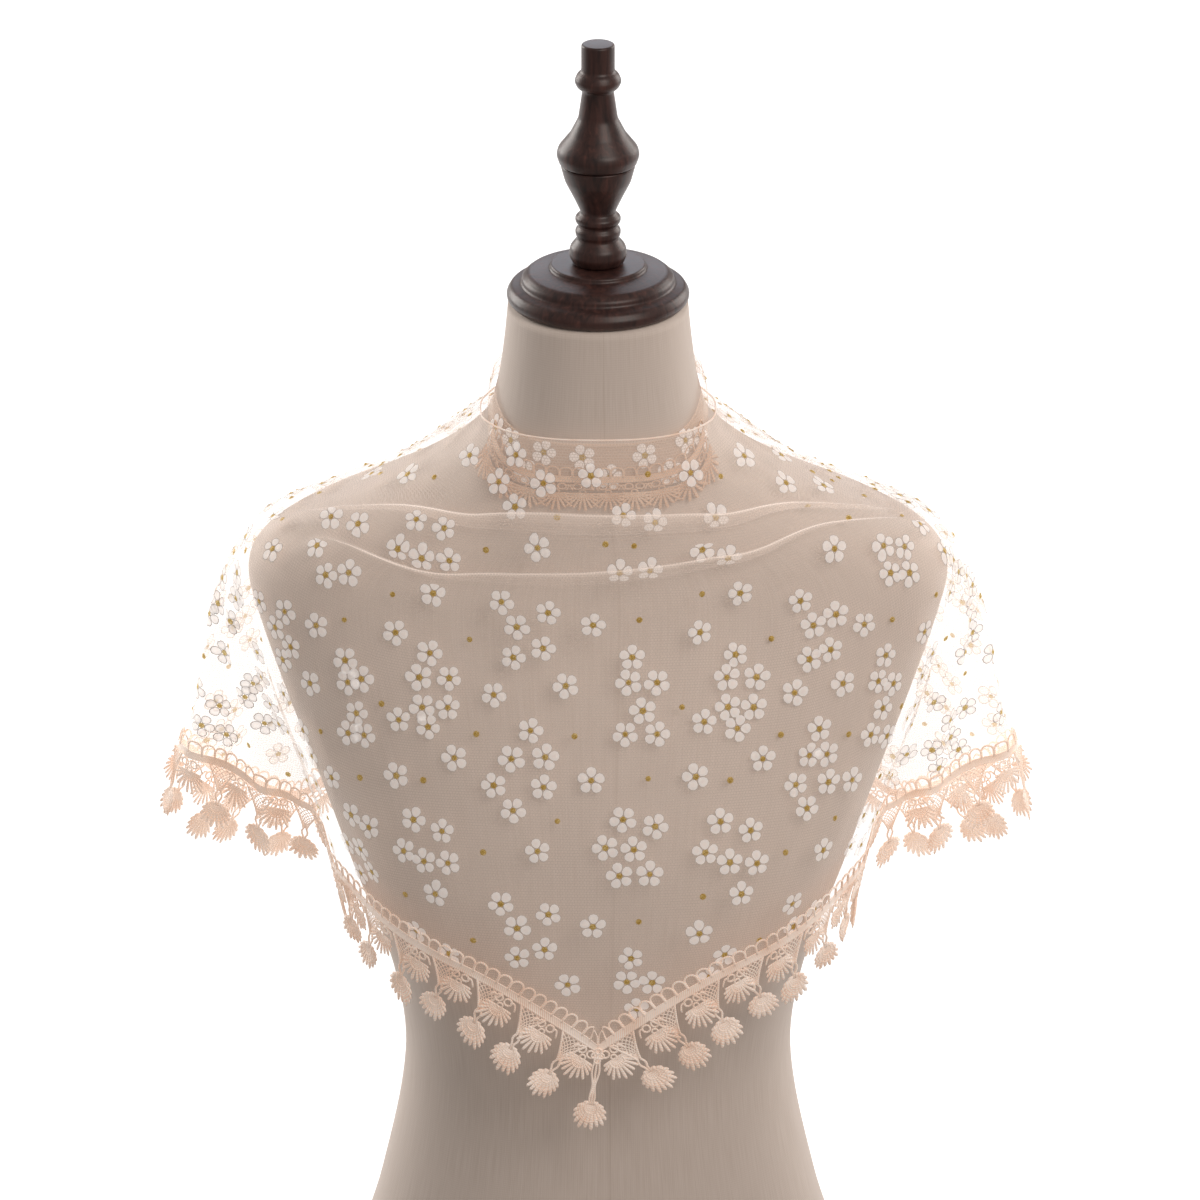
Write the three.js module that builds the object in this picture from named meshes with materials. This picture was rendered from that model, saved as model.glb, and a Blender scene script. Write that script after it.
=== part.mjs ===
// A sheer triangular shawl with a shell lace border, worn over a limbless dress form with a turned wooden cap.
// Millimetres, +Z up. The form faces -Y, and the origin is the middle of its flat base.
// The shawl's long edge lies round the neck and its point hangs in front. Its two tails pass over the shoulders,
// rise across the back and are wound round the neck, where their lace shows inside the cowl.

import * as THREE from "three";
import { mergeVertices } from "three/addons/utils/BufferGeometryUtils.js";

const { clamp, degToRad, lerp, smoothstep } = THREE.MathUtils;

// Driving dimensions
const NECK_TOP = 690;
const CLOTH_WALL = 1.0;
const LACE_WALL = 1.2;
const SEAM_GAP = 0.3;
const SEAM_SHARE = 1.7;
const LACE_REPEAT = 28.6;
const LACE_BAND = 4.6;
const LOOP_HEIGHT = 7.4;
const LOOPS_PER_REPEAT = 4;

// Dress form: half width, and depth to the front and to the back of the axis, at each height
const FORM_SQUARENESS = 2.25;
const FORM_SIDES = 22;
const FORM_RINGS = [
  { height: 0, halfWidth: 158, front: 106, back: 120 },
  { height: 60, halfWidth: 151, front: 101, back: 117 },
  { height: 133, halfWidth: 129, front: 92, back: 103 },
  { height: 221, halfWidth: 113, front: 86, back: 88 },
  { height: 283, halfWidth: 120, front: 98, back: 94 },
  { height: 351, halfWidth: 143, front: 114, back: 103 },
  { height: 403, halfWidth: 160, front: 118, back: 109 },
  { height: 460, halfWidth: 180, front: 105, back: 113 },
  { height: 507, halfWidth: 195, front: 87, back: 112 },
  { height: 532, halfWidth: 199, front: 77, back: 108 },
  { height: 546, halfWidth: 190, front: 72, back: 103 },
  { height: 560, halfWidth: 166, front: 69, back: 97 },
  { height: 571, halfWidth: 138, front: 67, back: 91 },
  { height: 582, halfWidth: 112, front: 65, back: 86 },
  { height: 597, halfWidth: 86, front: 63, back: 79 },
  { height: 617, halfWidth: 65, front: 61, back: 70 },
  { height: 640, halfWidth: 57, front: 58, back: 61 },
  { height: 665, halfWidth: 53, front: 55, back: 53 },
  { height: NECK_TOP, halfWidth: 50.5, front: 53, back: 48 },
];

const FORM_HEIGHTS = [
  0, 60, 133, 180, 221, 265, 308, 351, 393, 430, 465, 495, 518, 532, 545, 554,
  561, 567, 573, 580, 588, 597, 607, 618, 637, NECK_TOP,
];

// Turned wood, from the underside of the cap upwards: radius and height of each corner of the profile
const CAP_PROFILE = [
  [0, 0], [48, 0], [51, 3], [51.3, 6], [49, 10], [43, 12], [42.6, 15], [39, 18], [31, 19.5], [27, 20.5],
  [26.6, 23], [0, 23],
];
const URN_PROFILE = [
  [0, 0], [14, 0], [16.3, 5], [15.6, 10], [11.6, 15], [12.7, 17.5], [12.7, 20], [10.6, 22.5], [12.7, 25],
  [12.7, 27.5], [9.6, 30.5], [13, 38], [18.5, 49], [21, 58.5], [0, 58.5],
];
const SPIRE_PROFILE = [
  [0, 0], [21.4, 0], [23.2, 5.5], [22.2, 9.5], [15.5, 18], [11, 27], [8.7, 43], [11.6, 45], [13.2, 48.5],
  [11.6, 52.5], [9.3, 54.5], [9.3, 70], [0, 70],
];
const CAP_SIDES = 18;
const FINIAL_SIDES = 12;
const CAP_HEIGHT = 23;
const URN_HEIGHT = 58.5;

// Shawl sections from the front point, round one shoulder, to the nape: each leaves the neck, last touches the
// form at the rest point, and ends at the hem. The other side mirrors them.
const STATIONS = [
  { name: "front point", neck: [0, -68, 633], rest: [0, -122, 408], hem: [0, -124, 281] },
  { name: "front", neck: [25, -63.5, 632], rest: [66, -118, 406], hem: [58, -121, 320] },
  { name: "side of the chest", neck: [45, -50, 630], rest: [118, -92, 430], hem: [113, -92, 340] },
  { name: "front of the armhole", neck: [58, -32, 628], rest: [168, -46, 508], hem: [148, -38, 354] },
  { name: "armhole fold", neck: [64, -12, 626], rest: [192, -16, 539], hem: [163, 22, 362] },
  { name: "shoulder", neck: [66, 8, 624], rest: [200, 9, 541], hem: [200, 33, 375] },
  { name: "flap corner", neck: [63, 26, 622], rest: [193, 34, 540], hem: [239, 54, 388] },
  { name: "back of the shoulder", neck: [53, 44, 622], rest: [166, 68, 536], hem: [220, 92, 352] },
  { name: "shoulder blade", neck: [40, 58, 622], rest: [117, 94, 524], hem: [162, 120, 330] },
  { name: "tail", neck: [28, 63, 623], rest: [70, 95, 546], hem: [96, 117, 446] },
  { name: "tail gathered", neck: [18, 66, 624], rest: [38, 85, 580], hem: [56, 108, 520] },
  { name: "nape", neck: [10, 68, 624], rest: [16, 77, 603], hem: [24, 87, 582] },
];
const LAST = STATIONS.length - 1;
const FRONT_END = 4.5;
const FRONT_COLUMNS = 26;
const FLAP_CORNER = 6;
const SIDE_END = 7.5;
const STRETCHES = [
  { name: "shawl_side", from: FRONT_END, to: SIDE_END, columns: 14, rows: 10 },
  { name: "shawl_back", from: SIDE_END, to: LAST, columns: 10, rows: 9 },
];
const SHOULDER_TURN = 0.55;
const SHOULDER_SAG = 14;
const CLOTH_CLEARANCE = 2.9;
const COLLAR_CLEARANCE = 6.5;
const SETTLE_SOFTNESS = 1.6;

// Cowl folds across the chest: how far the cloth dips behind the rim, how far apart its layers lie, and the
// station where the fold dies out on each side
const SWAGS = [
  { name: "upper swag", rim: "upper", rowsAbove: [0.35, 0.7], rise: 15, gap: 3.2, leftEnd: 4.3, rightEnd: 4.4 },
  { name: "lower swag", rim: "lower", rowsAbove: [0.5], rise: 11, gap: 3.0, leftEnd: 3.5, rightEnd: 4.2 },
];
// Distance of each rim from the neck edge, measured along the section
const SWAG_RIMS = [
  { station: -4.7, upper: 120, lower: 140 },
  { station: -3, upper: 60, lower: 95 },
  { station: -2, upper: 41, lower: 74 },
  { station: -1, upper: 34, lower: 66 },
  { station: 0, upper: 34, lower: 64 },
  { station: 1, upper: 35, lower: 61 },
  { station: 2, upper: 41, lower: 63.5 },
  { station: 3, upper: 58, lower: 78 },
  { station: 4.7, upper: 119, lower: 136 },
];
const ROWS_BELOW = [0.065, 0.145, 0.255, 0.41, 0.6, 0.8, 1];
const SWAG_ROW_STEP = 1.5;
const SWAG_FADE = 22;
const SWAG_OPEN_RISE = 4;
const SWAG_ROWS = [
  { along: 0, lift: 0 },
  { along: 0.85, lift: 0.1 },
  { along: 1, lift: 0.5 },
  { along: 0.45, lift: 0.95 },
  { along: 0, lift: 1.4 },
  { along: 0.1, lift: 1.95 },
  { along: 0.7, lift: 2.1 },
];

// Soft folds that run down the cloth: station, width in stations, where along the section each starts to show,
// and height, with a trough below zero
const RIDGES = [
  { name: "flap front crease", station: 5.35, width: 0.3, from: 0.55, height: -4 },
  { name: "flap back crease", station: 6.8, width: 0.35, from: 0.55, height: -5 },
  { name: "shoulder ridge", station: 5.9, width: 0.6, from: 0.1, height: 4 },
  { name: "tail pleat low", station: 8.1, width: 0.35, from: 0.3, height: 6 },
  { name: "tail pleat middle", station: 9, width: 0.4, from: 0.2, height: 6 },
  { name: "tail pleat high", station: 9.9, width: 0.4, from: 0.1, height: 5 },
];

// The wound tails: top, bottom and clearance to the form of the band at each angle from the front
const WRAP = [
  { angle: 0, top: 628, bottom: 601, clearance: 1.6 },
  { angle: 45, top: 629, bottom: 604, clearance: 1.6 },
  { angle: 80, top: 646, bottom: 630, clearance: 2.0 },
  { angle: 105, top: 650, bottom: 632, clearance: 3.6 },
  { angle: 130, top: 645, bottom: 628, clearance: 6.4 },
  { angle: 155, top: 638, bottom: 603, clearance: 7.6 },
  { angle: 180, top: 635, bottom: 588, clearance: 8.6 },
];
const WRAP_LACE_ANGLE = 63;
const WRAP_LACE_STEP = 4.5;
const WRAP_PLAIN_STEP = 18;
const WRAP_LACE_RISE = 8;
const WRAP_LACE_DROP = 5;
const WRAP_SCALLOP = 5;
const WRAP_SCALLOP_ANGLE = 18;

// Finishes
const FINISHES = {
  jersey: { color: 0xd9c8bb, roughness: 0.85 },
  wood: { color: 0x2e2120, roughness: 0.4 },
  tulle: { color: 0xf0dccf, roughness: 0.7 },
  lace: { color: 0xf3d6c4, roughness: 0.75 },
};
for (const [name, look] of Object.entries(FINISHES)) {
  FINISHES[name] = new THREE.MeshStandardMaterial({ name, metalness: 0, ...look });
}

const shawlOnForm = new THREE.Group();

function addPiece(name, geometry, finish, parent = shawlOnForm) {
  const mesh = new THREE.Mesh(geometry, finish);
  mesh.name = name;
  parent.add(mesh);
  return mesh;
}

// A cubic from a to b that leaves at slope slopeA and arrives at slope slopeB, at share t.
function hermite(a, b, slopeA, slopeB, t) {
  const t2 = t * t;
  const t3 = t2 * t;
  return a * (2 * t3 - 3 * t2 + 1) + slopeA * (t3 - 2 * t2 + t) + b * (3 * t2 - 2 * t3) + slopeB * (t3 - t2);
}

// The value of one column of a table at any place along its key column, by a smooth curve through the rows.
function readTable(rows, key, column, place) {
  const last = rows.length - 1;
  const at = clamp(place, rows[0][key], rows[last][key]);
  let i = 0;
  while (i < last - 1 && rows[i + 1][key] < at) i += 1;
  const slope = (k) => {
    const before = rows[Math.max(k - 1, 0)];
    const after = rows[Math.min(k + 1, last)];
    return (after[column] - before[column]) / (after[key] - before[key]);
  };
  const span = rows[i + 1][key] - rows[i][key];
  const share = (at - rows[i][key]) / span;
  return hermite(rows[i][column], rows[i + 1][column], slope(i) * span, slope(i + 1) * span, share);
}

// How far a point lies outside the form, as a share of the form's own radius in that direction.
function outsideShare(point) {
  const width = readTable(FORM_RINGS, "height", "halfWidth", point.z);
  const depth = readTable(FORM_RINGS, "height", point.y < 0 ? "front" : "back", point.z);
  const across = (Math.abs(point.x) / width) ** FORM_SQUARENESS;
  const through = (Math.abs(point.y) / depth) ** FORM_SQUARENESS;
  return (across + through) ** (1 / FORM_SQUARENESS) - 1;
}

// Gradient of outsideShare by small steps: it points straight away from the form.
function awayFromForm(point) {
  const step = 0.5;
  const slope = (axis) => {
    const ahead = point.clone();
    const behind = point.clone();
    ahead[axis] += step;
    behind[axis] -= step;
    return (outsideShare(ahead) - outsideShare(behind)) / (2 * step);
  };
  return new THREE.Vector3(slope("x"), slope("y"), slope("z"));
}

// Moves a point away from the form until it keeps the clearance, easing in softly as cloth does.
function settle(point, clearance) {
  const settled = point.clone();
  for (let pass = 0; pass < 3; pass += 1) {
    const away = awayFromForm(settled);
    const steepness = away.length();
    const short = clearance - outsideShare(settled) / steepness;
    const eased = SETTLE_SOFTNESS * Math.log1p(Math.exp(short / SETTLE_SOFTNESS));
    settled.addScaledVector(away, Math.max(pass === 0 ? eased : short, 0) / steepness);
  }
  return settled;
}

const mirrored = (point) => new THREE.Vector3(-point.x, point.y, point.z);

// A smooth line through one column of the stations, over both sides.
function stationLine(column) {
  const right = STATIONS.map((station) => new THREE.Vector3(...station[column]));
  const left = right.slice(1).reverse().map(mirrored);
  return new THREE.CatmullRomCurve3([...left, ...right], false, "catmullrom", 0.5);
}

const neckLine = stationLine("neck");
const restLine = stationLine("rest");
const hemPoints = STATIONS.map((station) => new THREE.Vector3(...station.hem));
const hemLine = new THREE.CatmullRomCurve3(hemPoints, false, "catmullrom", 0.5);

// The three guiding points of a section. The hem keeps its sharp corner at the front point.
function guides(u) {
  const share = (u + LAST) / (2 * LAST);
  const hem = hemLine.getPoint(Math.abs(u) / LAST);
  return { neck: neckLine.getPoint(share), rest: restLine.getPoint(share), hem: u < 0 ? mirrored(hem) : hem };
}

// A section of the cloth from the neck (v = 0) over its rest point (v = 0.5) to the hem (v = 1).
function section(u, v) {
  const { neck, rest, hem } = guides(u);
  const upper = v < 0.5;
  const sag = SHOULDER_SAG * smoothstep(Math.abs(u), 2.5, 4.5) * (1 - smoothstep(Math.abs(u), 8, 10));
  const point = new THREE.Vector3();
  for (const axis of ["x", "y", "z"]) {
    const turn = (hem[axis] - neck[axis]) * SHOULDER_TURN;
    point[axis] = upper
      ? hermite(neck[axis], rest[axis], rest[axis] - neck[axis], turn, 2 * v)
      : hermite(rest[axis], hem[axis], turn, hem[axis] - rest[axis], 2 * v - 1);
  }
  if (upper) point.z -= sag * Math.sin(2 * Math.PI * v) ** 2;
  return point;
}

// The side of the cloth that faces out.
function facing(u, v) {
  const du = 0.05;
  const dv = 0.02;
  const across = section(Math.min(u + du, LAST), v).sub(section(Math.max(u - du, -LAST), v));
  const down = section(u, Math.min(v + dv, 1)).sub(section(u, Math.max(v - dv, 0)));
  return down.cross(across).normalize();
}

function ridgeHeight(u, v) {
  const heights = RIDGES.map(({ station, width, from, height }) => {
    const bell = Math.exp(-(((Math.abs(u) - station) / width) ** 2));
    return height * bell * smoothstep(v, from, from + 0.4);
  });
  return heights.reduce((sum, height) => sum + height, 0);
}

// A point of the draped cloth, resting on the form where it meets it, and lifted off by its own folds.
function clothPoint(u, v, lift = 0) {
  const out = facing(u, v);
  const clearance = lerp(COLLAR_CLEARANCE, CLOTH_CLEARANCE, smoothstep(v, 0.04, 0.3));
  const frontCollar = lerp(clearance, CLOTH_CLEARANCE, smoothstep(Math.abs(u), 3.5, 5));
  const draped = section(u, v).addScaledVector(out, ridgeHeight(u, v));
  return settle(draped, frontCollar).addScaledVector(out, lift);
}

// How deep a cowl fold dips at one place across the chest.
function swagRise({ rise, leftEnd, rightEnd }, u) {
  const reach = clamp(Math.abs(u) / (u < 0 ? leftEnd : rightEnd), 0, 1);
  return rise * (1 - reach ** 2);
}

// Rows of the front panel at one place across: distance along the section and lift, through both cowl folds.
function frontRows(u) {
  const { neck, rest } = guides(u);
  const perMillimetre = 0.5 / neck.distanceTo(rest);
  const rows = [{ v: 0, lift: 0 }];
  let carried = { v: 0, lift: 0 };
  const leftover = (v) => carried.lift * Math.exp(-(((v - carried.v) / perMillimetre / SWAG_FADE) ** 2));
  for (const swag of SWAGS) {
    const rise = swagRise(swag, u);
    const rim = readTable(SWAG_RIMS, "station", swag.rim, u) * perMillimetre;
    const gap = swag.gap * Math.min(rise / SWAG_OPEN_RISE, 1);
    const { v: above } = rows.at(-1);
    const approach = swag.rowsAbove.map((share) => lerp(above, rim, share));
    rows.push(...approach.map((v) => ({ v, lift: leftover(v) })));
    const folded = SWAG_ROWS.map(({ along, lift }, step) => {
      const v = rim + (step * SWAG_ROW_STEP + along * rise) * perMillimetre;
      return { v, lift: leftover(v) + lift * gap };
    });
    rows.push(...folded);
    carried = rows.at(-1);
  }
  const { v: start } = carried;
  const below = ROWS_BELOW.map((share) => lerp(start, 1, share));
  rows.push(...below.map((v) => ({ v, lift: leftover(v) })));
  return rows;
}

// Triangles of one face of a grid of points, row by row.
function gridFace(grid, flip, closed) {
  const triangles = [];
  const columns = grid[0].length;
  for (let j = 0; j + 1 < grid.length; j += 1) {
    for (let i = 0; i < (closed ? columns : columns - 1); i += 1) {
      const next = (i + 1) % columns;
      const [a, b, c, d] = [grid[j][i], grid[j + 1][i], grid[j + 1][next], grid[j][next]];
      triangles.push(...(flip ? [[a, c, b], [a, d, c]] : [[a, b, c], [a, c, d]]));
    }
  }
  return triangles;
}

// Triangles that join two lines of points.
function strip(first, second, closed) {
  return gridFace([first, second], false, closed);
}

function closedGeometry(triangles) {
  const geometry = new THREE.BufferGeometry().setFromPoints(triangles.flat());
  const merged = mergeVertices(geometry, 1e-3);
  merged.computeVertexNormals();
  return merged;
}

// A cloth wall of even thickness about a grid of points: rows run down the cloth and columns run to its right.
// A grid with spare columns has one more at each end, past the seam, that only steers the edge's facing.
function wallGeometry(grid, thickness, { closed = false, spare = false } = {}) {
  const rows = grid.length;
  const width = grid[0].length;
  const column = (i) => (closed ? (i + width) % width : clamp(i, 0, width - 1));
  const trimmed = (row) => (spare ? row.slice(1, -1) : row);
  const offset = (distance) => grid.map((row, j) => trimmed(row.map((point, i) => {
    const across = row[column(i + 1)].clone().sub(row[column(i - 1)]);
    const down = grid[Math.min(j + 1, rows - 1)][i].clone().sub(grid[Math.max(j - 1, 0)][i]);
    return point.clone().addScaledVector(down.cross(across).normalize(), distance);
  })));
  const outer = offset(thickness / 2);
  const inner = offset(-thickness / 2);
  const side = (layer, i) => layer.map((row) => row.at(i));
  const triangles = [
    ...gridFace(outer, false, closed),
    ...gridFace(inner, true, closed),
    ...strip(inner[0], outer[0], closed),
    ...strip(outer[rows - 1], inner[rows - 1], closed),
  ];
  if (!closed) {
    triangles.push(...strip(side(outer, 0), side(inner, 0), false));
    triangles.push(...strip(side(inner, -1), side(outer, -1), false));
  }
  return closedGeometry(triangles);
}

const evenly = (from, to, count) => Array.from({ length: count + 1 }, (_, i) => lerp(from, to, i / count));

// Dress form
function formGeometry() {
  const power = 2 / FORM_SQUARENESS;
  const rounded = (value) => Math.sign(value) * Math.abs(value) ** power;
  const rings = FORM_HEIGHTS.map((height) => {
    const size = (column) => readTable(FORM_RINGS, "height", column, height);
    return Array.from({ length: FORM_SIDES }, (_, i) => {
      const angle = (2 * Math.PI * i) / FORM_SIDES;
      const depth = Math.sin(angle) < 0 ? size("front") : size("back");
      const across = size("halfWidth") * rounded(Math.cos(angle));
      return new THREE.Vector3(across, depth * rounded(Math.sin(angle)), height);
    });
  });
  const lid = (ring, flip) => ring.map((point, i) => {
    const next = ring[(i + 1) % ring.length];
    const middle = new THREE.Vector3(0, 0, point.z);
    return flip ? [middle, next, point] : [middle, point, next];
  });
  return closedGeometry([...gridFace(rings, true, true), ...lid(rings[0], true), ...lid(rings.at(-1), false)]);
}

function turnedGeometry(profile, sides) {
  const outline = profile.map(([radius, height]) => new THREE.Vector2(radius, height));
  return new THREE.LatheGeometry(outline, sides).rotateX(Math.PI / 2);
}

function addDressForm() {
  addPiece("form_torso", formGeometry(), FINISHES.jersey);
  const woodwork = new THREE.Group();
  woodwork.position.set(0, -2, NECK_TOP + SEAM_GAP);
  shawlOnForm.add(woodwork);
  addPiece("form_neck_cap", turnedGeometry(CAP_PROFILE, CAP_SIDES), FINISHES.wood, woodwork);
  const urn = addPiece("form_finial_urn", turnedGeometry(URN_PROFILE, FINIAL_SIDES), FINISHES.wood, woodwork);
  urn.position.z = CAP_HEIGHT + SEAM_GAP;
  const spireShape = turnedGeometry(SPIRE_PROFILE, FINIAL_SIDES);
  const spire = addPiece("form_finial_spire", spireShape, FINISHES.wood, woodwork);
  spire.position.z = urn.position.z + URN_HEIGHT + SEAM_GAP;
}

// Shawl panels: stretches of one cloth, parted by the seam gap
const SPARE_STEP = 0.15;

// Stations across a stretch at one share of the section, drawn in from both seams, with a spare one past each.
function stretchPlaces(from, to, columns, v) {
  const inset = (u, towards) => {
    const perStation = clothPoint(u, v).distanceTo(clothPoint(u + towards * SPARE_STEP, v)) / SPARE_STEP;
    return u + (towards * SEAM_GAP * SEAM_SHARE) / perStation;
  };
  const inside = evenly(inset(from, 1), inset(to, -1), columns);
  const clip = (u) => clamp(u, -LAST, LAST);
  return [clip(from - SPARE_STEP), ...inside, clip(to + SPARE_STEP)];
}

function stretchGrid(from, to, columns, rows) {
  return evenly(0, 1, rows).map((v) => stretchPlaces(from, to, columns, v).map((u) => clothPoint(u, v)));
}

function frontGrid(columns) {
  const places = [-FRONT_END - SPARE_STEP, ...evenly(-FRONT_END, FRONT_END, columns), FRONT_END + SPARE_STEP];
  const lines = places.map((u) => frontRows(u).map(({ v, lift }) => clothPoint(u, v, lift)));
  return lines[0].map((_, row) => lines.map((line) => line[row]));
}

function addShawlPanels() {
  addPiece("shawl_front", wallGeometry(frontGrid(FRONT_COLUMNS), CLOTH_WALL, { spare: true }), FINISHES.tulle);
  for (const { name, from, to, columns, rows } of STRETCHES) {
    const right = stretchGrid(from, to, columns, rows);
    const left = stretchGrid(-to, -from, columns, rows);
    addPiece(name + "_right", wallGeometry(right, CLOTH_WALL, { spare: true }), FINISHES.tulle);
    addPiece(name + "_left", wallGeometry(left, CLOTH_WALL, { spare: true }), FINISHES.tulle);
  }
}

// A point beside the form's neck, at an angle from the front, a height and a clearance.
function besideNeck(degrees, height, clearance) {
  const angle = degToRad(degrees);
  const start = new THREE.Vector3(Math.sin(angle), -Math.cos(angle), 0).multiplyScalar(45);
  start.z = height;
  const scale = 1 / (outsideShare(start) + 1);
  start.x *= scale;
  start.y *= scale;
  return settle(start, clearance);
}

const wrapSize = (column, degrees) => readTable(WRAP, "angle", column, Math.abs(degrees));
const steps = (from, to, step) => evenly(from, to, Math.round((to - from) / step));

function addNeckWrap() {
  const front = steps(-WRAP_LACE_ANGLE, WRAP_LACE_ANGLE, WRAP_LACE_STEP);
  const round = steps(WRAP_LACE_ANGLE, 360 - WRAP_LACE_ANGLE, WRAP_PLAIN_STEP).slice(1, -1);
  const angles = [...front, ...round.map((degrees) => (degrees > 180 ? degrees - 360 : degrees))];
  const grid = evenly(0, 1, 2).map((share) => angles.map((degrees) => {
    const height = lerp(wrapSize("top", degrees), wrapSize("bottom", degrees), share);
    return besideNeck(degrees, height, wrapSize("clearance", degrees));
  }));
  addPiece("shawl_neck_wrap", wallGeometry(grid, CLOTH_WALL, { closed: true }), FINISHES.tulle);
  // The lace of the wound tails shows through the cowl. It lies on the wrap's front and hangs below its edge.
  const lace = evenly(0, 1, 1).map((share) => front.map((degrees) => {
    const scallop = WRAP_SCALLOP * Math.abs(Math.sin((Math.PI * degrees) / WRAP_SCALLOP_ANGLE));
    const height = wrapSize("bottom", degrees) + lerp(WRAP_LACE_RISE, -WRAP_LACE_DROP - scallop, share);
    return besideNeck(degrees, height, wrapSize("clearance", degrees) + LACE_RAISE);
  }));
  addPiece("lace_neck", wallGeometry(lace, LACE_WALL), FINISHES.lace);
}

// Lace border

// A motif that hangs from the band: a net that narrows to a stem, and a round shell at its end.
const SHELL = { centre: 0.56, base: 7.2, stem: 1.4, stemTop: 23, stemEnd: 30, radius: 8.6, corners: 6 };
const FAN = { centre: 0.2, base: 2.8, stem: 1.8, stemTop: 9, stemEnd: 11.5, radius: 6.4, corners: 4 };
const POINT_SHELL = { centre: 0, base: 2, stem: 1.4, stemTop: 12, stemEnd: 32, radius: 8.8, corners: 9 };
const POINT_LEAN = 7;
const LOOP_POST = 0.9;
const LOOP_FOOT = 0.7;
const LOOP_SAG = 0.15;
const LOOP_SHOULDER = 0.8;
const LOOP_CROWN = 1.6;
const LOOP_NOTCH = 1.8;
const MOTIF_MITRE = 4;
const LOOP_MITRE = 14;
const NAPE_PLUMB = 0.5;
const TANGENT_REACH = 6;
const LACE_RAISE = 2.8;
const CORNER_STAND = 1.2;
const CORNER_REACH = 24;

// The outline of a hanging motif, from its left foot on the band round to its right foot.
function hangingOutline({ base, stem, stemTop, stemEnd, radius, corners }, centre, top) {
  const open = Math.asin(stem / radius);
  const middle = -stemEnd - radius * Math.cos(open);
  const rim = evenly(open, 2 * Math.PI - open, corners).map((turn) => (
    new THREE.Vector2(centre - radius * Math.sin(turn), middle + radius * Math.cos(turn))));
  const at = (side, height) => new THREE.Vector2(centre + side, height);
  const hanging = [at(-stem, -stemTop), ...rim, at(stem, -stemTop)];
  hanging.forEach((corner) => Object.assign(corner, { anchor: centre }));
  return [at(-base, top), ...hanging, at(base, top)];
}

// A closed line of corners, each with the kind of edge that leads on from it.
const edged = (corners, kind) => corners.map((corner) => ({ corner, kind }));

// One repeat of the lace laid flat: s runs along the band, h runs up from the band's top edge. The band with its
// loops is made in bays, so that it can bend between them, and two motifs join it along their feet.
function laceRepeat(pitch, { withCrest, loopsPerBay }) {
  const loop = pitch / LOOPS_PER_REPEAT;
  const bays = LOOPS_PER_REPEAT / loopsPerBay;
  const notch = withCrest ? LOOP_HEIGHT - LOOP_NOTCH : LOOP_HEIGHT;
  const crown = LOOP_HEIGHT - LOOP_CROWN;
  const corner = (x, y) => new THREE.Vector2(x, y);
  const cuts = evenly(0, pitch, bays).map((x) => corner(x, -LACE_BAND));
  const lower = edged(cuts, "free");
  const motifs = [FAN, SHELL].map((motif) => {
    const fitted = { ...motif, base: (motif.base * pitch) / LACE_REPEAT };
    const outline = hangingOutline(fitted, motif.centre * pitch, -LACE_BAND);
    const [left, right] = [outline[0], outline.at(-1)];
    const between = lower.filter((edge) => edge.corner.x > left.x && edge.corner.x < right.x);
    between.forEach((edge) => Object.assign(edge, { kind: "joined" }));
    lower.push({ corner: left, kind: "joined" }, { corner: right, kind: "free" });
    const back = [right, ...between.map((edge) => edge.corner).reverse()];
    return { edges: [...edged(outline.slice(0, -1), "free"), ...edged(back, "joined")], holes: [] };
  });
  lower.sort((a, b) => a.corner.x - b.corner.x);
  const band = Array.from({ length: bays }, (_, k) => {
    const [start, end] = [cuts[k], cuts[k + 1]];
    const crest = [];
    const holes = [];
    for (let m = loopsPerBay - 1; m >= 0; m -= 1) {
      const foot = start.x + m * loop;
      if (withCrest) crest.push(corner(foot + loop / 2, LOOP_HEIGHT));
      if (withCrest && m > 0) crest.push(corner(foot, notch));
      holes.push([
        corner(foot + LOOP_POST, LOOP_FOOT),
        corner(foot + LOOP_POST + LOOP_SHOULDER, crown),
        corner(foot + loop - LOOP_POST - LOOP_SHOULDER, crown),
        corner(foot + loop - LOOP_POST, LOOP_FOOT + LOOP_SAG),
      ]);
    }
    const edges = [
      ...lower.filter((edge) => edge.corner.x >= start.x && edge.corner.x < end.x),
      { corner: end, kind: k + 1 === bays ? "last" : "joined" },
      ...edged([corner(end.x, notch), ...crest], "free"),
      { corner: corner(start.x, notch), kind: k === 0 ? "first" : "joined" },
    ];
    return { edges, holes };
  });
  return [...band, ...motifs];
}

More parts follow.
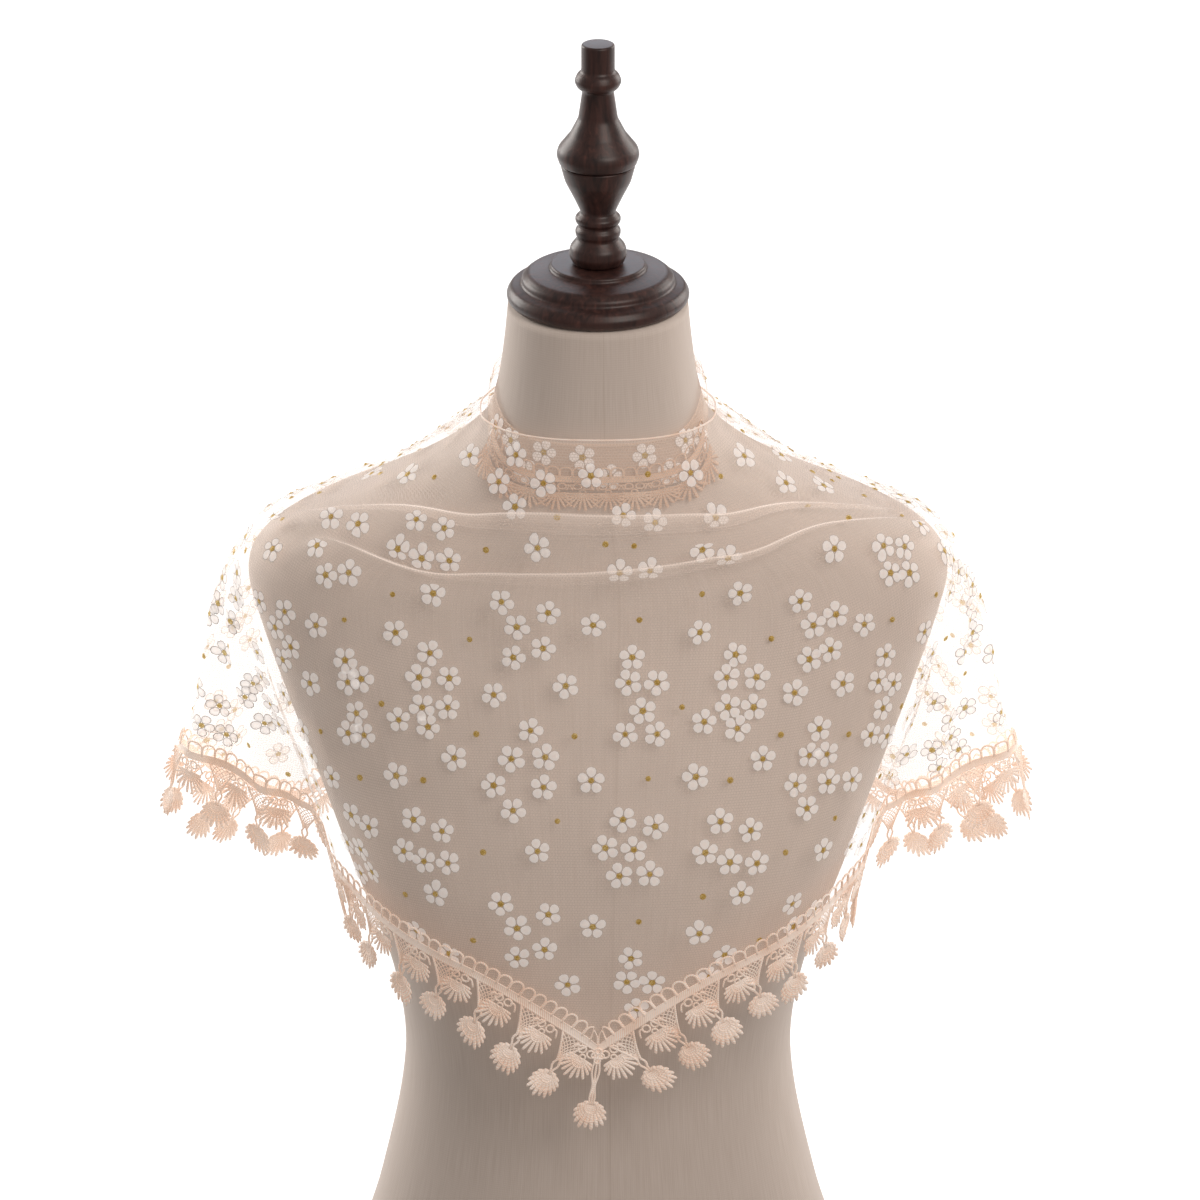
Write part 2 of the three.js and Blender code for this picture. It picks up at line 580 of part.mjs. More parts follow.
// A run of lace repeats bent onto its place: place gives the point at s along, h up and n out of the lace, with
// the middle of the motif it hangs in. Walls close every free edge and the two ends of the run.
function laceGeometry(place, from, to, { repeats, flip = false, ...style }) {
  const pitch = (to - from) / repeats;
  const patches = laceRepeat(pitch, style).map(({ edges, holes }) => {
    const outline = edges.map((edge) => edge.corner);
    const faces = THREE.ShapeUtils.triangulateShape(outline, holes);
    return { edges, holes, faces, flat: [...outline, ...holes.flat()] };
  });
  const triangles = [];
  for (let tile = 0; tile < repeats; tile += 1) {
    const start = from + tile * pitch;
    const walled = { free: true, joined: false, first: tile === 0, last: tile === repeats - 1 };
    for (const { edges, holes, flat, faces } of patches) {
      const layer = (n) => flat.map(({ x, y, anchor }) => place(start + x, y, n, anchor && start + anchor));
      const outer = layer(LACE_WALL / 2);
      const inner = layer(-LACE_WALL / 2);
      for (const [a, b, c] of faces) {
        triangles.push([outer[a], outer[b], outer[c]], [inner[c], inner[b], inner[a]]);
      }
      const addWall = (a, b) => triangles.push([outer[a], inner[a], outer[b]], [outer[b], inner[a], inner[b]]);
      edges.forEach(({ kind }, k) => {
        if (walled[kind]) addWall(k, (k + 1) % edges.length);
      });
      holes.forEach((hole, h) => {
        const first = edges.length + h * hole.length;
        hole.forEach((_, k) => addWall(first + k, first + ((k + 1) % hole.length)));
      });
    }
  }
  return closedGeometry(flip ? triangles.map(([a, b, c]) => [a, c, b]) : triangles);
}

// The right-hand hem as a line through the panels' own edge points, with its length so far and the way the
// cloth runs down to it.
function hemSample(u, above) {
  const point = clothPoint(u, 1);
  return { u, point, down: point.clone().sub(clothPoint(u, above)).normalize(), length: 0 };
}
const hemSamples = [
  ...evenly(0, FRONT_END, FRONT_COLUMNS / 2).map((u) => hemSample(u, frontRows(u).at(-2).v)),
  ...STRETCHES.flatMap(({ from, to, columns, rows }) => (
    evenly(from, to, columns).slice(1).map((u) => hemSample(u, 1 - 1 / rows)))),
];
hemSamples.slice(1).forEach((sample, i) => {
  sample.length = hemSamples[i].length + sample.point.distanceTo(hemSamples[i].point);
});
const HEM_LENGTH = hemSamples.at(-1).length;
const lengthAt = (u) => hemSamples.find((sample) => sample.u >= u - 1e-9).length;

// A sample of the hem at a length along it, between its stored neighbours.
function hemAt(length) {
  const along = clamp(length, 0, HEM_LENGTH);
  const i = Math.max(hemSamples.findIndex((sample) => sample.length >= along), 1);
  const [before, after] = [hemSamples[i - 1], hemSamples[i]];
  const share = (along - before.length) / (after.length - before.length);
  return {
    point: before.point.clone().lerp(after.point, share),
    down: before.down.clone().lerp(after.down, share).normalize(),
  };
}

// How much the lace runs straight down instead of square to the hem: all at the front point, half at the nape.
function plumbShare(length, mitre) {
  const atPoint = 1 - smoothstep(length, 0, mitre);
  const atNape = NAPE_PLUMB * smoothstep(length, lengthAt(8.5), lengthAt(10));
  return Math.max(atPoint, atNape);
}

// How far the lace lies out from the middle of the cloth. It is stiffer and stands off round the flap's corner.
function laceRaise(length) {
  const away = (length - lengthAt(FLAP_CORNER)) / CORNER_REACH;
  return LACE_RAISE + CORNER_STAND * Math.exp(-(away ** 2));
}

const PLUMB = new THREE.Vector3(0, 0, -1);
const without = (vector, axis) => vector.clone().addScaledVector(axis, -vector.dot(axis)).normalize();

// The hem at a length along it: its point, the way along it, down the cloth, down the lace, and out.
function hemFrame(length, mitre) {
  const { point, down } = hemAt(length);
  const along = hemAt(length + TANGENT_REACH).point.sub(hemAt(length - TANGENT_REACH).point).normalize();
  const square = without(down, along);
  const out = square.clone().cross(along);
  const drop = square.clone().lerp(without(PLUMB, out), plumbShare(length, mitre)).normalize();
  return { point, along, down, square, drop, out, raise: laceRaise(length) };
}

// Places the right-hand lace: s along the hem, h up from the band's top edge, n out of the lace. A motif hangs
// whole from the hem at its middle; the loops and the band follow the cloth's own lines.
function placeLace(s, h, n, middle) {
  const below = -h - LACE_BAND;
  const hangs = middle !== undefined;
  const frame = hemFrame(hangs ? middle : s, hangs ? MOTIF_MITRE : LOOP_MITRE);
  const { point, along, down, square, drop, out, raise } = frame;
  if (hangs) {
    const hung = point.addScaledVector(along, s - middle).addScaledVector(drop, below);
    return settle(hung, CLOTH_CLEARANCE).addScaledVector(out, raise + n);
  }
  const slope = drop.dot(square) / down.dot(square);
  const slip = drop.dot(along) - slope * down.dot(along);
  const root = hemAt(s + slip * below);
  return root.point.addScaledVector(root.down, slope * below).addScaledVector(out, raise + n);
}

function addLaceBorder() {
  const runs = [
    { name: "lace_front", from: 0, to: lengthAt(FRONT_END), withCrest: true, loopsPerBay: 2 },
    { name: "lace_side", from: lengthAt(FRONT_END), to: lengthAt(SIDE_END), withCrest: true, loopsPerBay: 1 },
    { name: "lace_back", from: lengthAt(SIDE_END), to: HEM_LENGTH, withCrest: false, loopsPerBay: 4 },
  ];
  const placeLeft = (...place) => mirrored(placeLace(...place));
  for (const { name, from, to, ...style } of runs) {
    const repeats = Math.round((to - from) / LACE_REPEAT);
    const [start, end] = [from + SEAM_GAP / 2, to - SEAM_GAP / 2];
    const right = laceGeometry(placeLace, start, end, { repeats, ...style });
    const left = laceGeometry(placeLeft, start, end, { repeats, flip: true, ...style });
    addPiece(name + "_right", right, FINISHES.lace);
    addPiece(name + "_left", left, FINISHES.lace);
  }
}

// The single shell that hangs from the front point, where the two runs of lace meet, and leans a little.
function addPointShell() {
  const outline = hangingOutline(POINT_SHELL, 0, -SEAM_GAP);
  const shape = new THREE.Shape(outline);
  const geometry = new THREE.ExtrudeGeometry(shape, { depth: LACE_WALL, bevelEnabled: false });
  geometry.translate(0, 0, -LACE_WALL / 2).rotateX(Math.PI / 2).rotateY(degToRad(POINT_LEAN));
  const { x, y, z } = placeLace(0, -LACE_BAND, 0);
  addPiece("lace_point", geometry, FINISHES.lace).position.set(x, y, z);
}

addDressForm();
addShawlPanels();
addNeckWrap();
addLaceBorder();
addPointShell();

export default shawlOnForm;
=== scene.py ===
"""A sheer printed shawl with a shell lace border, on a limbless dress form with a turned wooden cap.

Lengths are in millimetres until a mesh is made, the form faces -Y and +Z is up. The shawl is one cloth: u
counts stations from the front point (0) over a shoulder to the nape (11, or -11 on the left), and v runs from
the neck edge (0) to the hem (1).
"""

import bpy
import numpy as np
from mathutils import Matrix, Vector


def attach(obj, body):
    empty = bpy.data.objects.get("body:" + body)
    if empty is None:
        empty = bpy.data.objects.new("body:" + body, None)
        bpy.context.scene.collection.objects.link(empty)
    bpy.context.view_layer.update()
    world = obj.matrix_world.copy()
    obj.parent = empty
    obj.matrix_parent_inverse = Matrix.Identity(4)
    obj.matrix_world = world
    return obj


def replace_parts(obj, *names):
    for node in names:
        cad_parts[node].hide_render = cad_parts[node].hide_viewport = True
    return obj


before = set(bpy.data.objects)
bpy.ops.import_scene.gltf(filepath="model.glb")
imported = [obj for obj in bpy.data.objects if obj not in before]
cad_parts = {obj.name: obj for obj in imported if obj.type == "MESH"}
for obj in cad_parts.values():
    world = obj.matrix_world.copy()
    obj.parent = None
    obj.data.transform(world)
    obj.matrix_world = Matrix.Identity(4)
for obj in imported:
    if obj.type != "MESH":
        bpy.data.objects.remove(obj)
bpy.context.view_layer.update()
MM = 0.001
chance = np.random.default_rng(11)

# Camera: at the photograph's viewing angle, four metres away and tilted down to the shoulders
VIEW_TILT = np.radians(23.5)
VIEW_DISTANCE = 4000.0
VIEW_CENTRE = np.array([1.1, 0.0, 506.7])

lens = bpy.data.cameras.new("view")
lens.lens = 210.0
lens.sensor_width = 36.0
camera = bpy.data.objects.new("view", lens)
bpy.context.scene.collection.objects.link(camera)
away_from_centre = np.array([0.0, -np.cos(VIEW_TILT), np.sin(VIEW_TILT)])
camera.location = (VIEW_CENTRE + VIEW_DISTANCE * away_from_centre) * MM
camera.rotation_euler = (np.pi / 2 - VIEW_TILT, 0.0, 0.0)
bpy.context.scene.camera = camera

# Dress form: height, half width, depth to the front and depth to the back
FORM_SQUARENESS = 2.25
FORM_RINGS = np.array([
    [0, 158, 106, 120], [60, 151, 101, 117], [133, 129, 92, 103], [221, 113, 86, 88], [283, 120, 98, 94],
    [351, 143, 114, 103], [403, 160, 118, 109], [460, 180, 105, 113], [507, 195, 87, 112],
    [532, 199, 77, 108], [546, 190, 72, 103], [560, 166, 69, 97], [571, 138, 67, 91], [582, 112, 65, 86],
    [597, 86, 63, 79], [617, 65, 61, 70], [640, 57, 58, 61], [665, 53, 55, 53], [690, 50.5, 53, 48],
])
NECK_TOP = 690.0
FORM_GIRTH = 900.0
FORM_SEAM = 681.0
# Rows of the torso's mesh: from, to and count, closest where the shoulders turn
FORM_ROWS = [(0.0, 500.0, 61), (500.0, 625.0, 64), (625.0, NECK_TOP, 17)]
FORM_COLUMNS = 144

# Turned wood: radius and height of each corner of the profile, and the height of its underside above the form
WOOD_AXIS = (0.0, -2.0)
CAP_PROFILE = np.array([
    [0, 0], [48, 0], [51, 3], [51.3, 6], [49, 10], [43, 12], [42.6, 15], [39, 18], [31, 19.5], [27, 20.5],
    [26.6, 23], [0, 23],
])
URN_PROFILE = np.array([
    [0, 0], [14, 0], [16.3, 5], [15.6, 10], [11.6, 15], [12.7, 17.5], [12.7, 20], [10.6, 22.5],
    [12.7, 25], [12.7, 27.5], [9.6, 30.5], [13, 38], [18.5, 49], [21, 58.5], [0, 58.5],
])
SPIRE_PROFILE = np.array([
    [0, 0], [21.4, 0], [23.2, 5.5], [22.2, 9.5], [15.5, 18], [11, 27], [8.7, 43], [11.6, 45],
    [13.2, 48.5], [11.6, 52.5], [9.3, 54.5], [9.3, 70], [0, 70],
])
TURNINGS = [
    ("form_neck_cap", CAP_PROFILE, 0.3),
    ("form_finial_urn", URN_PROFILE, 23.6),
    ("form_finial_spire", SPIRE_PROFILE, 82.4),
]
TURNING_BEVEL = 1.54
TURNING_COLUMNS = 96

# Shawl sections at each station: where it leaves the neck, where it last touches the form, and its hem
NECK_POINTS = np.array([
    [0, -68, 633], [25, -63.5, 632], [45, -50, 630], [58, -32, 628], [64, -12, 626], [66, 8, 624],
    [63, 26, 622], [53, 44, 622], [40, 58, 622], [28, 63, 623], [18, 66, 624], [10, 68, 624],
])
REST_POINTS = np.array([
    [0, -122, 408], [66, -118, 406], [118, -92, 430], [168, -46, 508], [192, -16, 539], [200, 9, 541],
    [193, 34, 540], [166, 68, 536], [117, 94, 524], [70, 95, 546], [38, 85, 580], [16, 77, 603],
])
HEM_POINTS = np.array([
    [0, -124, 281], [58, -121, 320], [113, -92, 340], [148, -38, 354], [163, 22, 362], [200, 33, 375],
    [239, 54, 388], [220, 92, 352], [162, 120, 330], [96, 117, 446], [56, 108, 520], [24, 87, 582],
])
# Stations of the nape, of the front's end, of the flap's corner and of the side's end
LAST = 11
FRONT_END = 4.5
FLAP_CORNER = 6.0
SIDE_END = 7.5
# Slope where a section rests, as a share of its whole fall, the sag above that, and the stations where the
# sag grows and fades
SHOULDER_TURN = 0.55
SHOULDER_SAG = 14.0
SAG_STATIONS = (2.5, 4.5, 8.0, 10.0)
# Gap between cloth and form, wider at the collar, and the places and stations over which the collar ends
CLOTH_CLEARANCE = 2.9
COLLAR_CLEARANCE = 6.5
COLLAR_PLACES = (0.04, 0.3)
COLLAR_STATIONS = (3.5, 5.0)
SETTLE_SOFTNESS = 1.6

# Cowl folds: how far the cloth dips behind the rim, how far apart its layers lie, the station where the fold
# dies out on the left and on the right, and the rim's distance from the neck edge at each of RIM_STATIONS
RIM_STATIONS = np.array([-4.7, -3, -2, -1, 0, 1, 2, 3, 4.7])
SWAGS = [
    {"rise": 15.0, "gap": 3.2, "left": 4.3, "right": 4.4, "rows_above": 11,
     "rims": [120, 60, 41, 34, 34, 35, 41, 58, 119]},
    {"rise": 11.0, "gap": 3.0, "left": 3.5, "right": 4.2, "rows_above": 8,
     "rims": [140, 95, 74, 66, 64, 61, 63.5, 78, 136]},
]
# Steps through one fold: share of the rise, and lift in gaps
SWAG_STEPS = np.array([[0, 0], [0.85, 0.1], [1, 0.5], [0.45, 0.95], [0, 1.4], [0.1, 1.95], [0.7, 2.1]])
# Length of a step, length over which the lift fades below, and the rise at which a fold stands fully open
SWAG_STEP = 1.5
SWAG_FADE = 22.0
SWAG_OPEN_RISE = 4.0
# Step at which the rim comes, its width in steps, and the step at which the cloth turns back
SWAG_RIM_STEP = 4.5
SWAG_RIM_WIDTH = 0.22
SWAG_TURN_STEP = 0.8
# Behind the rim the net is thinned in the middle by SWAG_VEIL, and the rim there, with its denser net and
# its painted highlight, is as faint as SWAG_FAINT. Both change towards the sides, between two stations.
SWAG_VEIL = 0.3
VEIL_STATIONS = (1.2, 3.2)
SWAG_FAINT = 0.5
FAINT_STATIONS = (0.8, 3.4)
# Rows of the mesh through a fold, and below the folds
FOLD_ROWS = 25
ROWS_BELOW = 66

# Main folds, alike on both sides: station, width in stations, where along the section it starts, height
RIDGES = np.array([
    [5.35, 0.3, 0.55, -4], [6.8, 0.35, 0.55, -5], [5.9, 0.6, 0.1, 4], [8.1, 0.35, 0.3, 6],
    [9, 0.4, 0.2, 6], [9.9, 0.4, 0.1, 5],
])
# Creases: station at the top and at the bottom, where along the section it starts and ends, width in
# stations, height
CREASES = np.array([
    [-1.4, -1.1, 0.46, 0.96, 0.30, 0.9], [1.1, 1.5, 0.52, 1.00, 0.26, 0.8],
    [-2.5, -2.75, 0.34, 1.04, 0.22, 1.5], [-3.3, -3.65, 0.28, 1.10, 0.20, 2.6],
    [-4.0, -4.2, 0.30, 1.10, 0.16, 2.2], [2.8, 3.05, 0.36, 1.06, 0.24, 1.7],
    [3.55, 3.8, 0.26, 1.10, 0.18, 2.8], [4.15, 4.3, 0.40, 1.10, 0.14, 1.9],
    [4.95, 4.8, 0.48, 1.12, 0.16, 3.2], [5.7, 5.75, 0.60, 1.12, 0.14, 2.4],
    [6.35, 6.3, 0.52, 1.12, 0.15, 2.8], [7.25, 7.35, 0.42, 1.12, 0.16, 3.4],
    [-5.0, -4.9, 0.52, 1.12, 0.18, 2.7], [-5.65, -5.8, 0.56, 1.12, 0.15, 2.9],
    [-6.4, -6.35, 0.60, 1.12, 0.13, 2.2], [-7.2, -7.3, 0.46, 1.12, 0.17, 3.1],
    [8.55, 8.6, 0.22, 1.05, 0.14, 2.4], [9.45, 9.5, 0.16, 1.05, 0.15, 2.0],
    [10.4, 10.4, 0.10, 1.05, 0.18, 1.4], [-8.6, -8.5, 0.26, 1.05, 0.15, 2.1],
    [-9.5, -9.4, 0.14, 1.05, 0.14, 2.2], [-10.3, -10.4, 0.12, 1.05, 0.17, 1.5],
])
# A main fold fades in over RIDGE_FADE of the section, and a crease is full between two shares of its length
RIDGE_FADE = 0.4
CREASE_FULL = (0.35, 0.8)

# Wound tails: angle from the front, top, bottom and clearance to the form
WRAP = np.array([
    [0, 628, 601, 1.6], [45, 629, 604, 1.6], [80, 642, 628, 2.0], [105, 645, 630, 3.6],
    [130, 642, 626, 6.4], [155, 638, 603, 7.6], [180, 635, 588, 8.6],
])
# The band's mesh, its pleats and their height, the radius that its flat map is laid out by, and how strong
# and sharp its dense edges are; the edges also carry a painted highlight
WOUND_ROWS, WOUND_COLUMNS = 25, 180
WOUND_PLEATS = 3.4
WOUND_PLEAT_HEIGHT = 0.55
WOUND_RADIUS = 66.0
WOUND_EDGE = 0.4
WOUND_EDGE_SHARPNESS = 24
# Lace of the wound tails: how far it reaches round, at what radius, its rise and stand-off, the share that
# its height is pulled in to, and where in a repeat its fans hang
WRAP_LACE_ANGLE = 63.0
WRAP_LACE_RADIUS = 64.0
WRAP_LACE_RISE = 8.0
WRAP_LACE_STAND = 1.5
WRAP_LACE_SQUEEZE = 0.72
WRAP_LACE_MOTIFS = (0.2, 0.7)

# Lace border: length of one repeat, height of the braid, and height and count of the loops along its top
LACE_REPEAT = 28.6
LACE_BAND = 4.6
BRAID_RISE = 0.6
LOOP_HEIGHT = 7.4
LOOPS_PER_REPEAT = 4
# Where in a repeat each motif hangs, and how far from the front point the lace still turns to hang plumb
SHELL_CENTRE = 0.56
FAN_CENTRE = 0.2
MOTIF_MITRE = 4.0
LOOP_MITRE = 14.0
# How plumb the lace hangs at the nape, and at the flap's corner and near it
NAPE_PLUMB = 0.5
FLAP_PLUMB = 0.65
FLAP_REACH = 70.0
# Half the length that the hem's direction is taken over
TANGENT_REACH = 6.0
# How far the lace stands off the cloth, and how much further near the flap's corner
LACE_RAISE = 1.7
CORNER_STAND = 1.2
CORNER_REACH = 24.0
POINT_LEAN = np.radians(7.0)

# Lace motifs, in millimetres below the braid's top edge: the long one's net narrows to a keyhole and a stem,
# given as half widths and heights, and carries a shell; the short one's rings carry a fan
CORD = 0.68
NET_DEPTH = 17.0
NET_HALF = 7.4
NET_TAPER = 1.25
STEM_HALF = 1.0
KEYHOLE = np.array([[1.9, -23.8], [1.8, -25.6], [0.75, -28.0], [0.6, -31.5]])
SHELL_TOP = -30.0
SHELL_REACH = 17.2
SHELL_FINGERS = 14
FAN_TOP = -12.8
FAN_REACH = 14.5
FAN_FINGERS = 12
FAN_OPENING = 0.45
# The single shell at the point, and how far its stem hangs
POINT_SHELL_TOP = -31.5
POINT_SHELL_REACH = 17.6
POINT_STEM = 33.0
# Each hanging motif's own swing, curl and twist, and the lengths over which they grow
MOTIF_SWING = 0.12
MOTIF_CURL = (-0.2, 1.6)
MOTIF_TWIST = 0.35
SWING_LENGTH = 34.0
CURL_LENGTH = 40.0

# Print: one repeat of the cloth's daisies, charted in millimetres across and down. A posy is placed by its
# first daisy. A place is printed where the cloth's grid comes near enough, and not on the cloth's very edges.
PRINT_REPEAT = np.array([177.0, 170.0])
PRINT_START = -112.9
PRINT_NEAR = 3.5
PRINT_EDGES = (0.03, 0.965)
HEM_SHARE = 0.75
# A daisy's reach, its petals with their half length and half width, the reach of a gold drop, the sizes that
# they vary between, how far a gold dot keeps from a daisy, and how far a copy may be pulled apart
DAISY_REACH = 7.9
PETAL_COUNT = 5
PETAL = (3.15, 2.95)
GOLD_REACH = 1.8
DAISY_SIZES = (0.94, 1.05)
GOLD_SIZES = (0.9, 1.15)
DOT_APART = 1.3
TORN_SHARE = 1.25
POSIES = {
    "five": [(0, 0), (27, 6), (9, 14), (24, 26), (7, 31)],
    "seven": [(0, 0), (-7, 14), (11, 14), (-6, 30), (10, 30), (-20, 38), (-1, 42)],
    "stair": [(0, 0), (-2, 14), (14, 14), (6, 30), (-4, 43), (14, 43)],
    "ring": [(0, 0), (-11, 16), (8, 15), (-21, 31), (7, 32), (-10, 45)],
    "spray": [(0, 0), (18, 6), (-9, 18), (6, 23), (22, 24), (13, 42)],
    "pairs": [(0, 0), (18, 4), (-10, 16), (6, 17), (-2, 32), (15, 31)],
    "single": [(0, 0)],
}
PRINT_CHART = [
    ("five", 58, 1), ("seven", 16, 30), ("stair", 132, 32), ("ring", 75, 73), ("spray", 5, 124),
    ("pairs", 127, 123), ("single", 110, 14), ("single", -6, 18), ("single", 54, 53), ("single", 95, 48),
    ("single", 31, 89), ("single", -9, 99), ("single", 109, 101), ("single", 79, 141),
]
GOLD_DOTS = np.array([
    [39, 22], [44, 75], [11, 101], [141, 100], [90, 124], [48, 142], [136, 11], [-5, 167], [68, 12],
    [160, 60], [100, 76],
])
# Daisies on the wound tails: angle from the front, and share down the band
WOUND_DAISIES = np.array([
    [-62, 0.5], [-49, 0.3], [-37, 0.75], [-27, 0.25], [-9, 0.3], [6, 0.7], [25, 0.3], [35, 0.75],
    [47, 0.3], [60, 0.65], [-100, 0.5], [98, 0.4], [-131, 0.5], [126, 0.6], [-158, 0.35], [152, 0.4],
    [-172, 0.7], [171, 0.25],
])


# Curves


def smooth(x, low, high):
    """Rises from 0 at low to 1 at high as three times the share squared less twice the share cubed."""
    t = np.clip((x - low) / (high - low), 0.0, 1.0)
    return t * t * (3.0 - 2.0 * t)


def hermite(a, b, slope_a, slope_b, t):
    """The cubic from a to b, at share t, that leaves with slope_a and arrives with slope_b."""
    t2, t3 = t * t, t * t * t
    leaving = a * (2 * t3 - 3 * t2 + 1) + slope_a * (t3 - 2 * t2 + t)
    return leaving + b * (3 * t2 - 2 * t3) + slope_b * (t3 - t2)


def read_table(keys, values, place):
    """A smooth curve through a table: cubics between rows, the slope at a row taken across its neighbours."""
    keys, values = np.asarray(keys, float), np.asarray(values, float)
    rows = np.arange(len(keys))
    before, after = np.maximum(rows - 1, 0), np.minimum(rows + 1, len(keys) - 1)
    column = (slice(None),) + (None,) * (values.ndim - 1)
    slopes = (values[after] - values[before]) / (keys[after] - keys[before])[column]
    place = np.clip(place, keys[0], keys[-1])
    i = np.clip(np.searchsorted(keys, place) - 1, 0, len(keys) - 2)
    deep = (...,) + (None,) * (values.ndim - 1)
    span = (keys[i + 1] - keys[i])[deep]
    share = (place - keys[i])[deep] / span
    return hermite(values[i], values[i + 1], slopes[i] * span, slopes[i + 1] * span, share)


def unit(vectors):
    """Vectors divided by their own length."""
    return vectors / np.maximum(np.linalg.norm(vectors, axis=-1, keepdims=True), 1e-9)


def dot(a, b):
    """Sum of the products of the last axis."""
    return np.sum(a * b, axis=-1, keepdims=True)


# Form and cloth


def outside_share(points):
    """How far points lie outside the form's rounded-square ring at their height, as a share of its radius."""
    width, front, back = np.moveaxis(read_table(FORM_RINGS[:, 0], FORM_RINGS[:, 1:], points[..., 2]), -1, 0)
    depth = np.where(points[..., 1] < 0, front, back)
    across = (np.abs(points[..., 0]) / width) ** FORM_SQUARENESS
    through = (np.abs(points[..., 1]) / depth) ** FORM_SQUARENESS
    return (across + through) ** (1 / FORM_SQUARENESS) - 1


def settle(points, clearance):
    """Points moved along the gradient of outside_share until they clear the form, the first time softly."""
    step = 0.5
    for soft in (True, False, False):
        rise = [outside_share(points + axis) - outside_share(points - axis) for axis in np.eye(3) * step]
        away = np.stack(rise, axis=-1) / (2 * step)
        steepness = np.linalg.norm(away, axis=-1)
        short = clearance - outside_share(points) / steepness
        eased = SETTLE_SOFTNESS * np.logaddexp(0.0, short / SETTLE_SOFTNESS)
        move = eased if soft else np.maximum(short, 0.0)
        points = points + away * (move / steepness)[..., None]
    return points


def guides(u):
    """Neck, rest and hem points at stations u. The left mirrors the right; the hem keeps its front corner."""
    mirror = np.array([-1.0, 1.0, 1.0])
    places = np.arange(-LAST, LAST + 1)
    both = [np.concatenate([line[:0:-1] * mirror, line]) for line in (NECK_POINTS, REST_POINTS)]
    hem = read_table(np.arange(LAST + 1), HEM_POINTS, np.abs(u))
    hem = np.where((u < 0)[..., None], hem * mirror, hem)
    return read_table(places, both[0], u), read_table(places, both[1], u), hem


def section(u, v):
    """Cloth from neck to rest to hem: two cubics that share a slope, the upper sagging by sine squared."""
    neck, rest, hem = guides(u)
    turn = (hem - neck) * SHOULDER_TURN
    share = v[..., None]
    upper = hermite(neck, rest, rest - neck, turn, 2 * share)
    lower = hermite(rest, hem, turn, hem - rest, 2 * share - 1)
    sag = SHOULDER_SAG * smooth(np.abs(u), *SAG_STATIONS[:2]) * (1 - smooth(np.abs(u), *SAG_STATIONS[2:]))
    upper[..., 2] -= sag * np.sin(2 * np.pi * v) ** 2
    return np.where(share < 0.5, upper, lower)


def facing(u, v):
    """The way out of the cloth: down the section crossed with along the stations, by small steps."""
    across = section(np.minimum(u + 0.05, LAST), v) - section(np.maximum(u - 0.05, -LAST), v)
    down = section(u, np.minimum(v + 0.02, 1)) - section(u, np.maximum(v - 0.02, 0))
    return unit(np.cross(down, across))


def fold_height(u, v):
    """Sum of the folds: each is a bell across the stations, fading in, or in and out, along the section."""
    height = np.zeros_like(u)
    for station, width, start, tall in RIDGES:
        bell = np.exp(-(((np.abs(u) - station) / width) ** 2))
        height += tall * bell * smooth(v, start, start + RIDGE_FADE)
    for top, bottom, start, end, width, tall in CREASES:
        share = (v - start) / (end - start)
        line = top + (bottom - top) * share
        length = smooth(share, 0.0, CREASE_FULL[0]) * (1 - smooth(share, CREASE_FULL[1], 1.0))
        height += tall * np.exp(-(((u - line) / width) ** 2)) * length
    return height


def cloth_point(u, v, lift):
    """The draped cloth: the section with its folds, settled on the form, and lifted along its facing."""
    out = facing(u, v)
    collar = COLLAR_CLEARANCE + (CLOTH_CLEARANCE - COLLAR_CLEARANCE) * smooth(v, *COLLAR_PLACES)
    clearance = collar + (CLOTH_CLEARANCE - collar) * smooth(np.abs(u), *COLLAR_STATIONS)
    return settle(section(u, v) + out * fold_height(u, v)[..., None], clearance) + out * lift[..., None]


